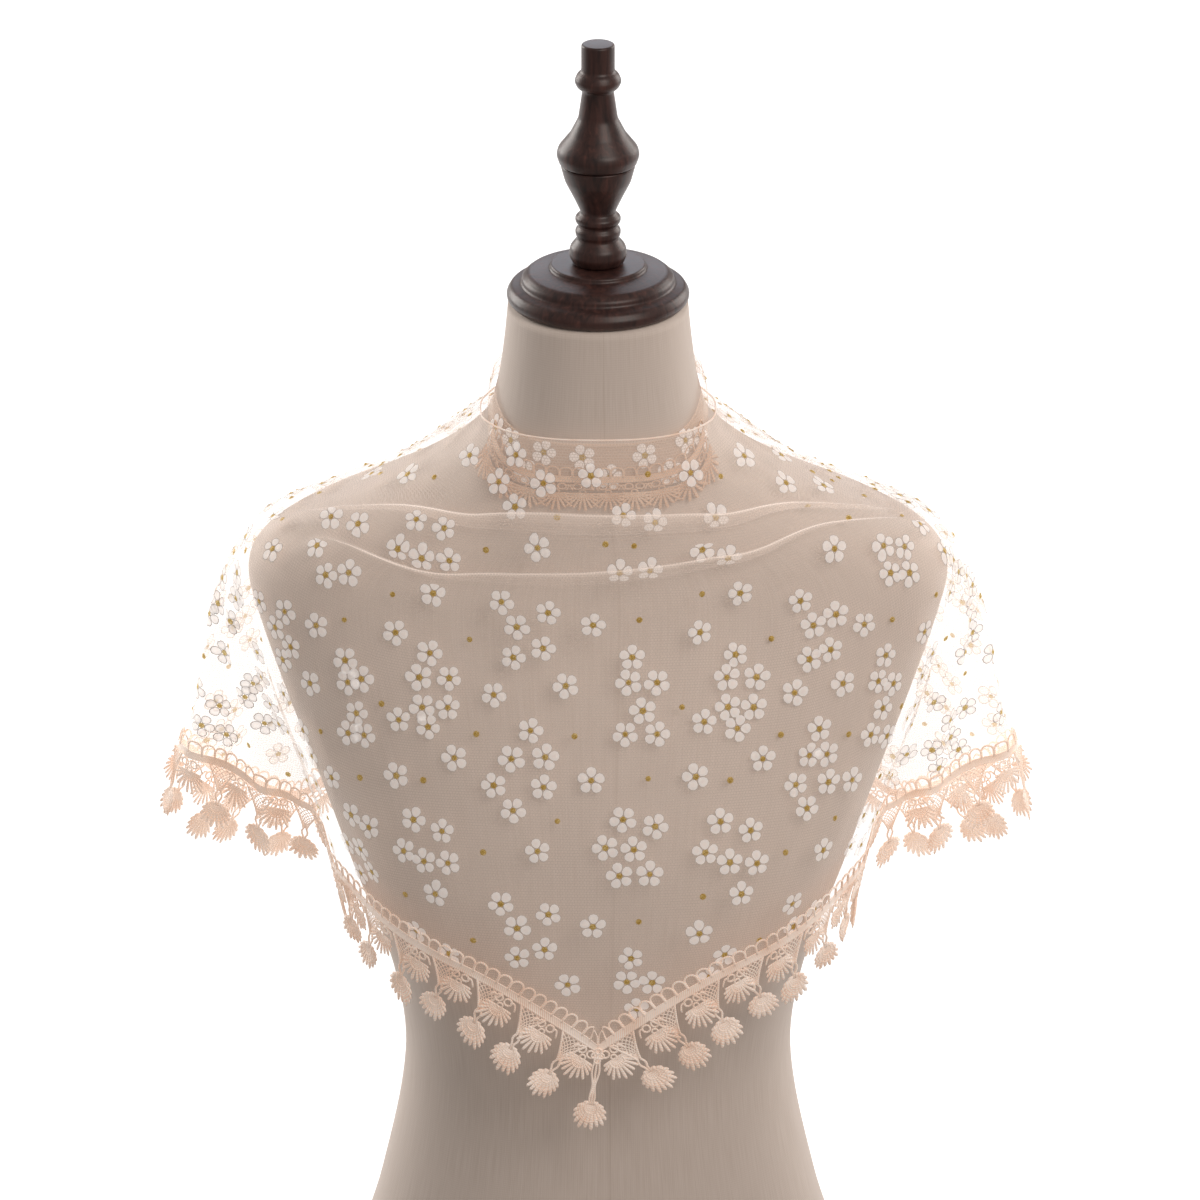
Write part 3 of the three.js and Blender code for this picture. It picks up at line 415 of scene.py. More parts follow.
def cloth_rows(u):
    """Rows down the cloth at stations u: place along the section, lift, nearness to a rim, and turned or not.

    Through a cowl fold the row dips below the rim, turns back up behind it, and comes over the rim to the
    outside. What lift is left fades below the fold as a bell. Past the front the rows ease to an even
    spacing.
    """
    near = np.clip(u, -FRONT_END, FRONT_END)
    neck, rest, _ = guides(near)
    per_mm = 0.5 / np.linalg.norm(rest - neck, axis=-1)
    step = np.linspace(0, len(SWAG_STEPS) - 1, FOLD_ROWS)[:, None]
    dip, layer = np.moveaxis(read_table(np.arange(len(SWAG_STEPS)), SWAG_STEPS, step), -1, 0)
    places, lifts, rims, turns = [], [], [], []
    start, carried = np.zeros_like(u), np.zeros_like(u)

    def leftover(v):
        return carried * np.exp(-(((v - start) / per_mm / SWAG_FADE) ** 2))

    for swag in SWAGS:
        reach = np.clip(np.abs(near) / np.where(near < 0, swag["left"], swag["right"]), 0, 1)
        rise = swag["rise"] * (1 - reach**2)
        opened = np.minimum(rise / SWAG_OPEN_RISE, 1)
        rim = read_table(RIM_STATIONS, swag["rims"], near) * per_mm
        above = start + (rim - start) * np.linspace(0, 1, swag["rows_above"], endpoint=False)[:, None]
        above = above[1:] if places else above
        fold = rim + (step * SWAG_STEP + dip * rise) * per_mm
        places += [above, fold]
        lifts += [leftover(above), leftover(fold) + layer * swag["gap"] * opened]
        crisp = SWAG_FAINT + (1 - SWAG_FAINT) * smooth(np.abs(near), *FAINT_STATIONS)
        crest = crisp * np.exp(-(((step - SWAG_RIM_STEP) / SWAG_RIM_WIDTH) ** 2))
        turned = (step > SWAG_TURN_STEP) * (step < SWAG_RIM_STEP)
        behind = SWAG_VEIL * turned * (1 - smooth(np.abs(near), *VEIL_STATIONS))
        rims += [np.zeros_like(above), (crest - behind) * opened]
        turns += [np.zeros_like(above), (step > SWAG_TURN_STEP) * np.minimum(rise, 1)]
        start, carried = fold[-1], lifts[-1][-1]
    below = start + (1 - start) * np.linspace(0, 1, ROWS_BELOW)[1:, None]
    places, lifts = np.concatenate([*places, below]), np.concatenate([*lifts, leftover(below)])
    rims, turns = (np.concatenate([*part, np.zeros_like(below)]) for part in (rims, turns))
    even = smooth(np.abs(u), FRONT_END, FRONT_END + 2)
    spaced = np.linspace(0, 1, len(places))[:, None]
    return places * (1 - even) + spaced * even, lifts, rims, turns > 0


def beside_neck(angle, height, clearance):
    """Points round the neck, by degrees from the front: a ray cut by the form's ring, then settled."""
    turn = np.radians(angle)
    ray = np.stack([np.sin(turn) * 45, -np.cos(turn) * 45, height], axis=-1)
    ray[..., :2] /= (outside_share(ray) + 1)[..., None]
    return settle(ray, clearance)


# Meshes


def grid_faces(rows, columns, closed=False):
    """Four-cornered faces of a grid, facing down crossed with across; closed joins the ends of each row."""
    j, i = np.meshgrid(np.arange(rows - 1), np.arange(columns if closed else columns - 1), indexing="ij")
    corner = j * columns + i
    next_corner = j * columns + (i + 1) % columns
    return np.stack([corner, corner + columns, next_corner + columns, next_corner], axis=-1).reshape(-1, 4)


def add_piece(name, points, faces, finish, uv=None, marks=None):
    """A mesh piece from points in millimetres, face lists by corner count, and a flat map in millimetres."""
    mesh = bpy.data.meshes.new(name)
    corners = np.concatenate([part.ravel() for part in faces]).astype(np.int32)
    counts = np.concatenate([np.full(len(part), part.shape[1]) for part in faces])
    mesh.vertices.add(len(points))
    mesh.vertices.foreach_set("co", (np.asarray(points) * MM).astype(np.float32).ravel())
    mesh.loops.add(len(corners))
    mesh.loops.foreach_set("vertex_index", corners)
    mesh.polygons.add(len(counts))
    mesh.polygons.foreach_set("loop_start", (np.cumsum(counts) - counts).astype(np.int32))
    mesh.polygons.foreach_set("use_smooth", np.ones(len(counts), bool))
    mesh.update(calc_edges=True)
    if uv is not None:
        mesh.uv_layers.new(name="flat").data.foreach_set("uv", uv[corners].astype(np.float32).ravel())
    for mark, values in (marks or {}).items():
        stored = mesh.attributes.new(mark, "FLOAT", "POINT")
        stored.data.foreach_set("value", values.astype(np.float32).ravel())
    mesh.materials.append(finish)
    piece = bpy.data.objects.new(name, mesh)
    bpy.context.scene.collection.objects.link(piece)
    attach(piece, "root")
    return piece


def joined(works):
    """Several works, each of points, flat map and face lists, as one: faces are sorted by corner count."""
    offsets = np.cumsum([0] + [len(points) for points, _, _ in works])
    counts = sorted({part.shape[1] for _, _, faces in works for part in faces})
    moved = [part + start for start, work in zip(offsets, works) for part in work[2]]
    faces = [np.concatenate([part for part in moved if part.shape[1] == count]) for count in counts]
    return np.concatenate([work[0] for work in works]), np.concatenate([work[1] for work in works]), faces


def cords(paths, radius, sides=5, flatness=1.0):
    """Round cords along paths of flat lace (cords, points, s h n): rings across the path and out of it."""
    paths = np.asarray(paths, float)
    count, length, _ = paths.shape
    out = np.array([0.0, 0.0, 1.0])
    along = np.gradient(paths, axis=1)
    side = unit(np.cross(along, out))
    turn = 2 * np.pi * np.arange(sides) / sides
    spread = np.cos(turn)[:, None] * side[:, :, None] + flatness * np.sin(turn)[:, None] * out
    radius = np.broadcast_to(np.asarray(radius, float), (count, length))
    points = paths[:, :, None] + radius[:, :, None, None] * spread
    travel = np.cumsum(np.linalg.norm(along, axis=-1), axis=1)
    uv = np.stack(np.broadcast_arrays(travel[..., None], turn / (2 * np.pi) * 3), axis=-1)
    start = (np.arange(count) * length * sides)[:, None, None]
    walls = (start + grid_faces(length, sides, closed=True)[None]).reshape(-1, 4)
    ring = np.arange(sides)[None]
    first = start[:, 0] + ring
    last = start[:, 0] + (length - 1) * sides + ring[:, ::-1]
    return points.reshape(-1, 3), uv.reshape(-1, 2), [walls, np.concatenate([first, last])]


# Finishes

# Distances from the form's middle, in metres, between which the painted glow of the tulle and lace, and the
# painted shade of the petals' outline, change from the front to the flaps
TULLE_FLAPS = (0.175, 0.21)
PETAL_FLAPS = (0.15, 0.2)
LACE_FLAPS = (0.12, 0.19)


def linear(hex_colour):
    """A six-digit sRGB colour as the linear red, green and blue that shaders use."""
    value = np.array([int(hex_colour[i : i + 2], 16) for i in (1, 3, 5)]) / 255
    return (*np.where(value <= 0.04045, value / 12.92, ((value + 0.055) / 1.055) ** 2.4), 1.0)


def new_finish(name):
    """An empty node material. A glow in it lights by bounces, and isn't sampled as a lamp, to save time."""
    finish = bpy.data.materials.new(name)
    finish.use_nodes = True
    finish.node_tree.nodes.clear()
    finish.cycles.emission_sampling = "NONE"
    return finish, finish.node_tree


def add_node(tree, kind, inputs=(), **settings):
    """One node with its own settings; each input takes a value or another node's output."""
    made = tree.nodes.new(kind)
    for name, value in settings.items():
        setattr(made, name, value)
    for key, value in dict(inputs).items():
        if isinstance(value, bpy.types.NodeSocket):
            tree.links.new(value, made.inputs[key])
        else:
            made.inputs[key].default_value = value
    return made


def set_ramp(ramp, stops):
    """Fills a colour ramp from pairs of place and sRGB colour."""
    elements = ramp.color_ramp.elements
    for place, _ in stops[2:]:
        elements.new(place)
    for element, (place, colour) in zip(elements, stops):
        element.position = place
        element.color = linear(colour)


def by_side(tree, inner, outer, in_front, on_flaps):
    """A strength that differs in front of the form and on the flaps, which hang clear of it in the light.

    It changes between two distances from the form's middle, inner and outer, in metres. It sets how strong a
    painted glow and a painted shade are.
    """
    place = add_node(tree, "ShaderNodeTexCoord")
    axes = add_node(tree, "ShaderNodeSeparateXYZ", {"Vector": place.outputs["Object"]})
    aside = add_node(tree, "ShaderNodeMath", {0: axes.outputs["X"]}, operation="ABSOLUTE")
    strength = add_node(
        tree,
        "ShaderNodeMapRange",
        {"Value": aside.outputs[0], "From Min": inner, "From Max": outer,
         "To Min": in_front, "To Max": on_flaps},
    )
    return strength.outputs[0]


def tulle_finish(name, colour, sheer, dense, glow_in_front, glow_on_flaps):
    """Nylon tulle: a fine knitted net, so sheer that it veils what lies behind, denser along a pressed rim.

    The real net's cells are under a millimetre. They are drawn at 1.9 by 1.6 mm, so that they show. A painted
    glow stands in for light: on the flaps, the light that comes through the net from behind; in front of the
    form, a weaker glow that brightens the net; along the rim, a painted highlight over the denser net.
    """
    finish, tree = new_finish(name)
    flat = add_node(tree, "ShaderNodeUVMap", uv_map="flat")
    net = add_node(
        tree,
        "ShaderNodeTexBrick",
        {"Vector": flat.outputs["UV"], "Scale": 1.0, "Brick Width": 1.9, "Row Height": 1.6,
         "Mortar Size": 0.16, "Mortar Smooth": 0.5, "Color1": (0, 0, 0, 1), "Color2": (0, 0, 0, 1),
         "Mortar": (1, 1, 1, 1)},
        offset=0.5,
    )
    cloudy = add_node(
        tree, "ShaderNodeTexNoise", {"Vector": flat.outputs["UV"], "Scale": 0.02, "Detail": 2.0}
    )
    body = add_node(
        tree, "ShaderNodeMapRange", {"Value": cloudy.outputs["Fac"], "To Min": sheer, "To Max": dense}
    )
    threads = add_node(
        tree, "ShaderNodeMath", {0: net.outputs["Fac"], 1: 0.2, 2: body.outputs[0]}, operation="MULTIPLY_ADD"
    )
    rim = add_node(tree, "ShaderNodeAttribute", attribute_name="rim")
    veil = add_node(
        tree,
        "ShaderNodeMath",
        {0: rim.outputs["Fac"], 1: 0.5, 2: threads.outputs[0]},
        operation="MULTIPLY_ADD",
    )
    # Painted light: a glow that differs by side, plus a painted highlight along the rim
    through = by_side(tree, *TULLE_FLAPS, glow_in_front, glow_on_flaps)
    glow = add_node(
        tree,
        "ShaderNodeMath",
        {0: rim.outputs["Fac"], 1: 0.35, 2: through},
        operation="MULTIPLY_ADD",
        use_clamp=True,
    )
    shader = add_node(
        tree,
        "ShaderNodeBsdfPrincipled",
        {"Base Color": linear(colour), "Roughness": 0.55, "Sheen Weight": 0.25, "Alpha": veil.outputs[0],
         "Emission Color": linear(colour), "Emission Strength": glow.outputs[0]},
    )
    add_node(tree, "ShaderNodeOutputMaterial", {"Surface": shader.outputs["BSDF"]})
    return finish


def flock_finish():
    """Viscose flock pressed on in the shape of daisies: a matt, faintly furry white that lets light through.

    The pressed rim of a petal lets no light through, and a thin grey outline of painted shade is drawn on it,
    fainter in front of the form. A faint painted glow stands in for the light that comes through the petals.
    The fibres stand about 0.6 mm apart.
    """
    finish, tree = new_finish("white_viscose_flock")
    place = add_node(tree, "ShaderNodeTexCoord")
    fur = add_node(
        tree, "ShaderNodeTexNoise", {"Vector": place.outputs["Object"], "Scale": 1600.0, "Detail": 3.0}
    )
    bump = add_node(
        tree, "ShaderNodeBump", {"Height": fur.outputs["Fac"], "Strength": 0.35, "Distance": 0.0003}
    )
    edge = add_node(tree, "ShaderNodeAttribute", attribute_name="edge")
    # Painted shade: a grey outline at the petal's rim, fainter in front of the form
    clear = by_side(tree, *PETAL_FLAPS, 0.94, 1.0)
    rim = add_node(tree, "ShaderNodeMath", {0: edge.outputs["Fac"], 1: clear}, operation="MULTIPLY")
    tint = add_node(tree, "ShaderNodeValToRGB", {"Fac": rim.outputs[0]})
    set_ramp(tint, [(0.82, "#fffcfa"), (0.9, "#bab4af"), (1.0, "#807a76")])
    cover = add_node(tree, "ShaderNodeMapRange", {"Value": rim.outputs[0], "To Min": 0.85, "To Max": 0.95})
    through = add_node(
        tree,
        "ShaderNodeMapRange",
        {"Value": rim.outputs[0], "From Min": 0.8, "From Max": 0.9, "To Min": 0.45, "To Max": 0.0},
    )
    # Emission Strength 0.14 is a painted glow for the light that comes through the petals
    shader = add_node(
        tree,
        "ShaderNodeBsdfPrincipled",
        {"Base Color": tint.outputs["Color"], "Roughness": 0.9, "Sheen Weight": 0.3, "IOR": 1.0,
         "Transmission Weight": through.outputs[0], "Alpha": cover.outputs[0],
         "Normal": bump.outputs["Normal"], "Emission Color": tint.outputs["Color"],
         "Emission Strength": 0.14},
    )
    add_node(tree, "ShaderNodeOutputMaterial", {"Surface": shader.outputs["BSDF"]})
    return finish


def glitter_finish():
    """Gold glitter in clear glue: flakes of about 0.4 mm, each turned its own way, from straw to ochre.

    The glue lets some light through, and the flakes' sparkle is given as a faint glow.
    """
    finish, tree = new_finish("gold_glitter")
    place = add_node(tree, "ShaderNodeTexCoord")
    flakes = add_node(tree, "ShaderNodeTexVoronoi", {"Vector": place.outputs["Object"], "Scale": 2400.0})
    tint = add_node(tree, "ShaderNodeValToRGB", {"Fac": flakes.outputs["Color"]})
    set_ramp(tint, [(0.1, "#97742f"), (0.6, "#c09f4c"), (0.95, "#ecdba2")])
    bump = add_node(
        tree, "ShaderNodeBump", {"Height": flakes.outputs["Color"], "Strength": 0.6, "Distance": 0.0004}
    )
    shader = add_node(
        tree,
        "ShaderNodeBsdfPrincipled",
        {"Base Color": tint.outputs["Color"], "Metallic": 0.15, "Roughness": 0.4, "IOR": 1.2,
         "Transmission Weight": 0.45, "Normal": bump.outputs["Normal"],
         "Emission Color": tint.outputs["Color"], "Emission Strength": 0.15},
    )
    add_node(tree, "ShaderNodeOutputMaterial", {"Surface": shader.outputs["BSDF"]})
    return finish


def lace_finish(name, stops, glow_in_front, glow_on_flaps):
    """Embroidered polyester lace: twisted peach thread, the twist as slanting ridges 1.1 mm apart.

    The twist is drawn by bumps, and by painted shade in its grooves and a painted highlight on its ridges. A
    warm painted glow stands in for light: on the flaps, the light that comes through the thread from behind;
    in front of the form, a weaker glow that brightens the thread.
    """
    finish, tree = new_finish(name)
    flat = add_node(tree, "ShaderNodeUVMap", uv_map="flat")
    slant = add_node(
        tree, "ShaderNodeMapping", {"Vector": flat.outputs["UV"], "Rotation": (0, 0, np.radians(35))}
    )
    twist = add_node(
        tree,
        "ShaderNodeTexWave",
        {"Vector": slant.outputs["Vector"], "Scale": 2 * np.pi / 20 / 1.1, "Distortion": 0.6, "Detail": 1.0},
    )
    place = add_node(tree, "ShaderNodeTexCoord")
    uneven = add_node(
        tree, "ShaderNodeTexNoise", {"Vector": place.outputs["Object"], "Scale": 60.0, "Detail": 2.0}
    )
    # The twist paints shade in the thread's grooves and a highlight on its ridges; the noise adds uneven tone
    shade = add_node(
        tree,
        "ShaderNodeMath",
        {0: twist.outputs["Fac"], 1: 0.3, 2: uneven.outputs["Fac"]},
        operation="MULTIPLY_ADD",
    )
    tint = add_node(tree, "ShaderNodeValToRGB", {"Fac": shade.outputs[0]})
    set_ramp(tint, stops)
    bump = add_node(
        tree, "ShaderNodeBump", {"Height": twist.outputs["Fac"], "Strength": 0.35, "Distance": 0.0004}
    )
    # Painted glow, stronger on the flaps
    glow = by_side(tree, *LACE_FLAPS, glow_in_front, glow_on_flaps)
    shader = add_node(
        tree,
        "ShaderNodeBsdfPrincipled",
        {"Base Color": tint.outputs["Color"], "Roughness": 0.6, "Sheen Weight": 0.3,
         "Normal": bump.outputs["Normal"], "Emission Color": linear("#f7ceb1"), "Emission Strength": glow},
    )
    add_node(tree, "ShaderNodeOutputMaterial", {"Surface": shader.outputs["BSDF"]})
    return finish


def jersey_finish():
    """Linen-cotton jersey stretched over the form: a matt beige with uneven yarns, and a seam down the front.

    The real yarns are about 0.4 mm apart. They are drawn at 1.3 mm, so that they show.
    """
    finish, tree = new_finish("beige_linen_jersey")
    flat = add_node(tree, "ShaderNodeUVMap", uv_map="flat")
    waver = {"Distortion": 1.4, "Detail": 2.0, "Detail Scale": 0.4, "Scale": 2 * np.pi / 20 / 1.3}
    upright = add_node(
        tree, "ShaderNodeTexWave", {"Vector": flat.outputs["UV"], **waver}, bands_direction="X"
    )
    level = add_node(tree, "ShaderNodeTexWave", {"Vector": flat.outputs["UV"], **waver}, bands_direction="Y")
    weave = add_node(
        tree, "ShaderNodeMath", {0: upright.outputs["Fac"], 1: level.outputs["Fac"]}, operation="MULTIPLY"
    )
    stretched = add_node(tree, "ShaderNodeMapping", {"Vector": flat.outputs["UV"], "Scale": (0.9, 0.03, 1.0)})
    slubs = add_node(
        tree, "ShaderNodeTexNoise", {"Vector": stretched.outputs["Vector"], "Scale": 1.0, "Detail": 4.0}
    )
    yarns = add_node(
        tree,
        "ShaderNodeMath",
        {0: weave.outputs[0], 1: 0.35, 2: slubs.outputs["Fac"]},
        operation="MULTIPLY_ADD",
    )
    across = add_node(tree, "ShaderNodeSeparateXYZ", {"Vector": flat.outputs["UV"]})
    aside = add_node(tree, "ShaderNodeMath", {0: across.outputs["X"], 1: FORM_SEAM}, operation="SUBTRACT")
    apart = add_node(tree, "ShaderNodeMath", {0: aside.outputs[0]}, operation="ABSOLUTE")
    seam = add_node(
        tree,
        "ShaderNodeMapRange",
        {"Value": apart.outputs[0], "From Min": 0.3, "From Max": 0.9, "To Min": 0.3, "To Max": 0.0},
    )
    mixed = add_node(tree, "ShaderNodeMath", {0: yarns.outputs[0], 1: seam.outputs[0]}, operation="SUBTRACT")
    tint = add_node(tree, "ShaderNodeValToRGB", {"Fac": mixed.outputs[0]})
    set_ramp(tint, [(0.25, "#cfc1b6"), (0.6, "#d8cbc1"), (0.95, "#dfd3ca")])
    bump = add_node(
        tree, "ShaderNodeBump", {"Height": mixed.outputs[0], "Strength": 0.12, "Distance": 0.0005}
    )
    shader = add_node(
        tree,
        "ShaderNodeBsdfPrincipled",
        {"Base Color": tint.outputs["Color"], "Roughness": 0.85, "Sheen Weight": 0.15,
         "Normal": bump.outputs["Normal"]},
    )
    add_node(tree, "ShaderNodeOutputMaterial", {"Surface": shader.outputs["BSDF"]})
    return finish


def wood_finish():
    """Beech turned on a lathe, stained dark brown and varnished: grain 3 mm wide up the axis, clear coat."""
    finish, tree = new_finish("stained_varnished_beech")
    place = add_node(tree, "ShaderNodeTexCoord")
    long_way = add_node(
        tree, "ShaderNodeMapping", {"Vector": place.outputs["Object"], "Scale": (1.0, 1.0, 0.12)}
    )
    grain = add_node(
        tree,
        "ShaderNodeTexNoise",
        {"Vector": long_way.outputs["Vector"], "Scale": 320.0, "Detail": 5.0, "Distortion": 0.6},
    )
    tint = add_node(tree, "ShaderNodeValToRGB", {"Fac": grain.outputs["Fac"]})
    set_ramp(tint, [(0.25, "#211413"), (0.6, "#432924"), (0.9, "#694037")])
    gloss = add_node(
        tree, "ShaderNodeMapRange", {"Value": grain.outputs["Fac"], "To Min": 0.34, "To Max": 0.48}
    )
    bump = add_node(
        tree, "ShaderNodeBump", {"Height": grain.outputs["Fac"], "Strength": 0.12, "Distance": 0.0005}
    )
    shader = add_node(
        tree,
        "ShaderNodeBsdfPrincipled",
        {"Base Color": tint.outputs["Color"], "Roughness": gloss.outputs[0], "Normal": bump.outputs["Normal"],
         "Specular IOR Level": 0.42, "Coat Weight": 0.1, "Coat Roughness": 0.25},
    )
    add_node(tree, "ShaderNodeOutputMaterial", {"Surface": shader.outputs["BSDF"]})
    return finish


TULLE = tulle_finish("nylon_tulle_net", "#f9eadf", 0.17, 0.24, 0.15, 0.5)
WOUND_TULLE = tulle_finish("wound_nylon_tulle_net", "#ecceb7", 0.24, 0.34, 0.06, 0.06)
PALE_PEACH = [(0.3, "#e3c4b0"), (0.6, "#f9e6d9"), (0.85, "#fffaf5")]
# The neck lace is the same thread as the border, drawn darker and more orange: painted shade under the cowl
PEACH_IN_PAINTED_SHADE = [(0.3, "#cfa88c"), (0.65, "#e2c1a7"), (0.95, "#f0d8c4")]
LACE = lace_finish("peach_polyester_lace_thread", PALE_PEACH, 0.18, 0.3)
WOUND_LACE = lace_finish("peach_lace_thread_in_painted_shade", PEACH_IN_PAINTED_SHADE, 0.05, 0.05)
FLOCK, GLITTER, JERSEY, WOOD = flock_finish(), glitter_finish(), jersey_finish(), wood_finish()


# Dress form


def add_torso():
    """Rounded-square rings stacked by height, with flat lids at both ends; the map runs once round."""
    heights = np.unique(np.concatenate([np.linspace(*rows) for rows in FORM_ROWS]))
    turn = np.linspace(0, 2 * np.pi, FORM_COLUMNS + 1)[:-1]
    size = read_table(FORM_RINGS[:, 0], FORM_RINGS[:, 1:], heights)[:, None]
    power = 2 / FORM_SQUARENESS
    across = np.sign(np.cos(turn)) * np.abs(np.cos(turn)) ** power
    through = np.sign(np.sin(turn)) * np.abs(np.sin(turn)) ** power
    depth = np.where(through < 0, size[..., 1], size[..., 2])
    x, y = size[..., 0] * across, depth * through
    points = np.stack([x, y, np.broadcast_to(heights[:, None], x.shape)], axis=-1)
    flat_x = turn / (2 * np.pi) * FORM_GIRTH
    uv = np.stack(np.broadcast_arrays(flat_x, heights[:, None]), axis=-1)
    rows, columns = x.shape
    ring = np.arange(columns)[None]
    faces = [grid_faces(rows, columns, closed=True)[:, ::-1], ring[:, ::-1], (rows - 1) * columns + ring]
    piece = add_piece("form_torso_cover", points.reshape(-1, 3), faces, JERSEY, uv.reshape(-1, 2))
    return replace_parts(piece, "form_torso")


def rounded_profile(profile, steps=4):
    """A turned profile with each corner rounded: points near it are blended along a quadratic curve."""
    before, after = profile[:-2], profile[2:]
    corner = profile[1:-1]
    reach = np.minimum(np.linalg.norm(before - corner, axis=1), np.linalg.norm(after - corner, axis=1))
    reach = np.minimum(TURNING_BEVEL, 0.45 * reach)[:, None]
    start, end = corner + unit(before - corner) * reach, corner + unit(after - corner) * reach
    t = np.linspace(0, 1, steps + 1)[:, None, None]
    curve = start * (1 - t) ** 2 + corner * 2 * t * (1 - t) + end * t**2
    middle = np.moveaxis(curve, 0, 1).reshape(-1, 2)
    return np.concatenate([profile[:1], middle, profile[-1:]])


def add_turning(node, profile, rise):
    """A rounded profile of radius and height carried round the wood's axis."""
    outline = rounded_profile(profile.astype(float))
    outline[[0, -1], 0] = 0.02
    turn = np.linspace(0, 2 * np.pi, TURNING_COLUMNS + 1)[:-1]
    radius, height = outline[:, :1], outline[:, 1:]
    x, y = WOOD_AXIS[0] + radius * np.cos(turn), WOOD_AXIS[1] + radius * np.sin(turn)
    z = np.broadcast_to(NECK_TOP + rise + height, x.shape)
    rows, columns = x.shape
    faces = [grid_faces(rows, columns, closed=True)[:, ::-1]]
    points = np.stack([x, y, z], axis=-1).reshape(-1, 3)
    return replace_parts(add_piece(node + "_turned", points, faces, WOOD), node)


add_torso()
for turning in TURNINGS:
    add_turning(*turning)


# Shawl cloth

STATIONS = np.linspace(-LAST, LAST, 441)
row_places, row_lifts, row_rims, row_turns = cloth_rows(STATIONS)
row_stations = np.broadcast_to(STATIONS, row_places.shape)
cloth = cloth_point(row_stations, row_places, row_lifts)
ROWS, COLUMNS = row_places.shape
MIDDLE = COLUMNS // 2


def sheet_of(points):
    """A grid of points with its steps across and down, and the way out of it."""
    across, down = np.gradient(points, axis=1), np.gradient(points, axis=0)
    return {"points": points, "across": across, "down": down, "out": unit(np.cross(down, across))}


def run_of(steps, axis):
    """Length travelled along an axis of the grid, from its start."""
    return np.cumsum(np.linalg.norm(steps, axis=-1), axis=axis)


CLOTH = sheet_of(cloth)
travel_across = run_of(CLOTH["across"], 1)
travel_across = travel_across - travel_across[:, MIDDLE : MIDDLE + 1]
travel_down = run_of(CLOTH["down"], 0)
cloth_uv = np.stack([travel_across, travel_down], axis=-1).reshape(-1, 2)


def add_cloth():
    """The whole draped cloth as one grid: rows down the sections, columns along the stations."""
    faces = [grid_faces(ROWS, COLUMNS)]
    piece = add_piece(
        "shawl_cloth", cloth.reshape(-1, 3), faces, TULLE, cloth_uv, {"rim": row_rims.reshape(-1)}
    )
    panels = ["shawl_front", "shawl_side_right", "shawl_side_left", "shawl_back_right", "shawl_back_left"]
    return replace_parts(piece, *panels)


def tube_along(path, normals, radius, sides=8):
    """A round edge along a line of points: rings spread over the line's normals and their square."""
    along = unit(np.gradient(path, axis=0))
    side = unit(np.cross(along, normals))
    turn = 2 * np.pi * np.arange(sides) / sides
    spread = np.cos(turn)[:, None] * side[:, None] + np.sin(turn)[:, None] * normals[:, None]
    points = path[:, None] + radius * spread
    ring = np.arange(sides)[None]
    ends = [ring, (len(path) - 1) * sides + ring[:, ::-1]]
    travel = run_of(np.gradient(path, axis=0), 0)
    uv = np.stack(np.broadcast_arrays(travel[:, None], turn), axis=-1).reshape(-1, 2)
    return points.reshape(-1, 3), uv, [grid_faces(len(path), sides, closed=True), np.concatenate(ends)]


def add_neck_hem():
    """The rolled hem of the long edge: a thin round cord along the cloth's first row."""
    points, uv, faces = tube_along(cloth[0], CLOTH["out"][0], 0.5)
    return add_piece("shawl_rolled_hem", points, faces, LACE, uv)


def wound_places():
    """The wound tails' grid: angle from the front, share down the band, and points gathered into pleats."""
    angle = np.linspace(-180, 180, WOUND_COLUMNS + 1)[:-1]
    share = np.linspace(0, 1, WOUND_ROWS)[:, None]
    top, bottom, clearance = np.moveaxis(read_table(WRAP[:, 0], WRAP[:, 1:], np.abs(angle)), -1, 0)
    waver = 0.25 * np.sin(np.radians(2 * angle + 40))
    pleat = np.sin(2 * np.pi * (WOUND_PLEATS * share + waver)) * np.minimum(clearance / 5, 1)
    height = top + (bottom - top) * share
    angle, share = np.broadcast_arrays(angle, share)
    return angle, share, beside_neck(angle, height, clearance + WOUND_PLEAT_HEIGHT * pleat)


wound_angle, wound_share, wound = wound_places()
WOUND = sheet_of(wound)


def add_neck_wrap():
    """The tails wound round the neck: a closed band, denser along its top and bottom edges."""
    uv = np.stack([np.radians(wound_angle) * WOUND_RADIUS, wound[..., 2]], axis=-1).reshape(-1, 2)
    faces = [grid_faces(WOUND_ROWS, WOUND_COLUMNS, closed=True)]
    # Both edges are denser and are brightened by a painted highlight, through the rim mark
    edges = [np.exp(-((away * WOUND_EDGE_SHARPNESS) ** 2)) for away in (wound_share, 1 - wound_share)]
    rim = WOUND_EDGE * (edges[0] + edges[1])
    piece = add_piece("shawl_tails", wound.reshape(-1, 3), faces, WOUND_TULLE, uv, {"rim": rim})
    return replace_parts(piece, "shawl_neck_wrap")


shawl = add_cloth()
neck_hem = add_neck_hem()
tails = add_neck_wrap()


# Print


def over_repeats(places):
    """One repeat's places over enough repeats to cover any stretch of the cloth."""
    i, j = np.meshgrid(np.arange(-5, 6), np.arange(-4, 5), indexing="ij")
    shifts = np.stack([i, j], axis=-1).reshape(-1, 1, 2) * PRINT_REPEAT
    return (places + shifts).reshape(-1, 2)


def nearest_on_cloth(places, chart, shown):
    """Grid row and column of the shown chart point closest to each place, and the rest of the way to it."""
    rows, columns = np.nonzero(shown)
    known = chart[rows, columns]
    inside = np.all((places > known.min(0)) & (places < known.max(0)), axis=1)
    places = places[inside]
    gap = np.linalg.norm(places[:, None] - known[None], axis=-1)
    best = gap.argmin(axis=1)
    close = gap[np.arange(len(places)), best] < PRINT_NEAR
    best, places = best[close], places[close]
    return rows[best], columns[best], places - known[best]


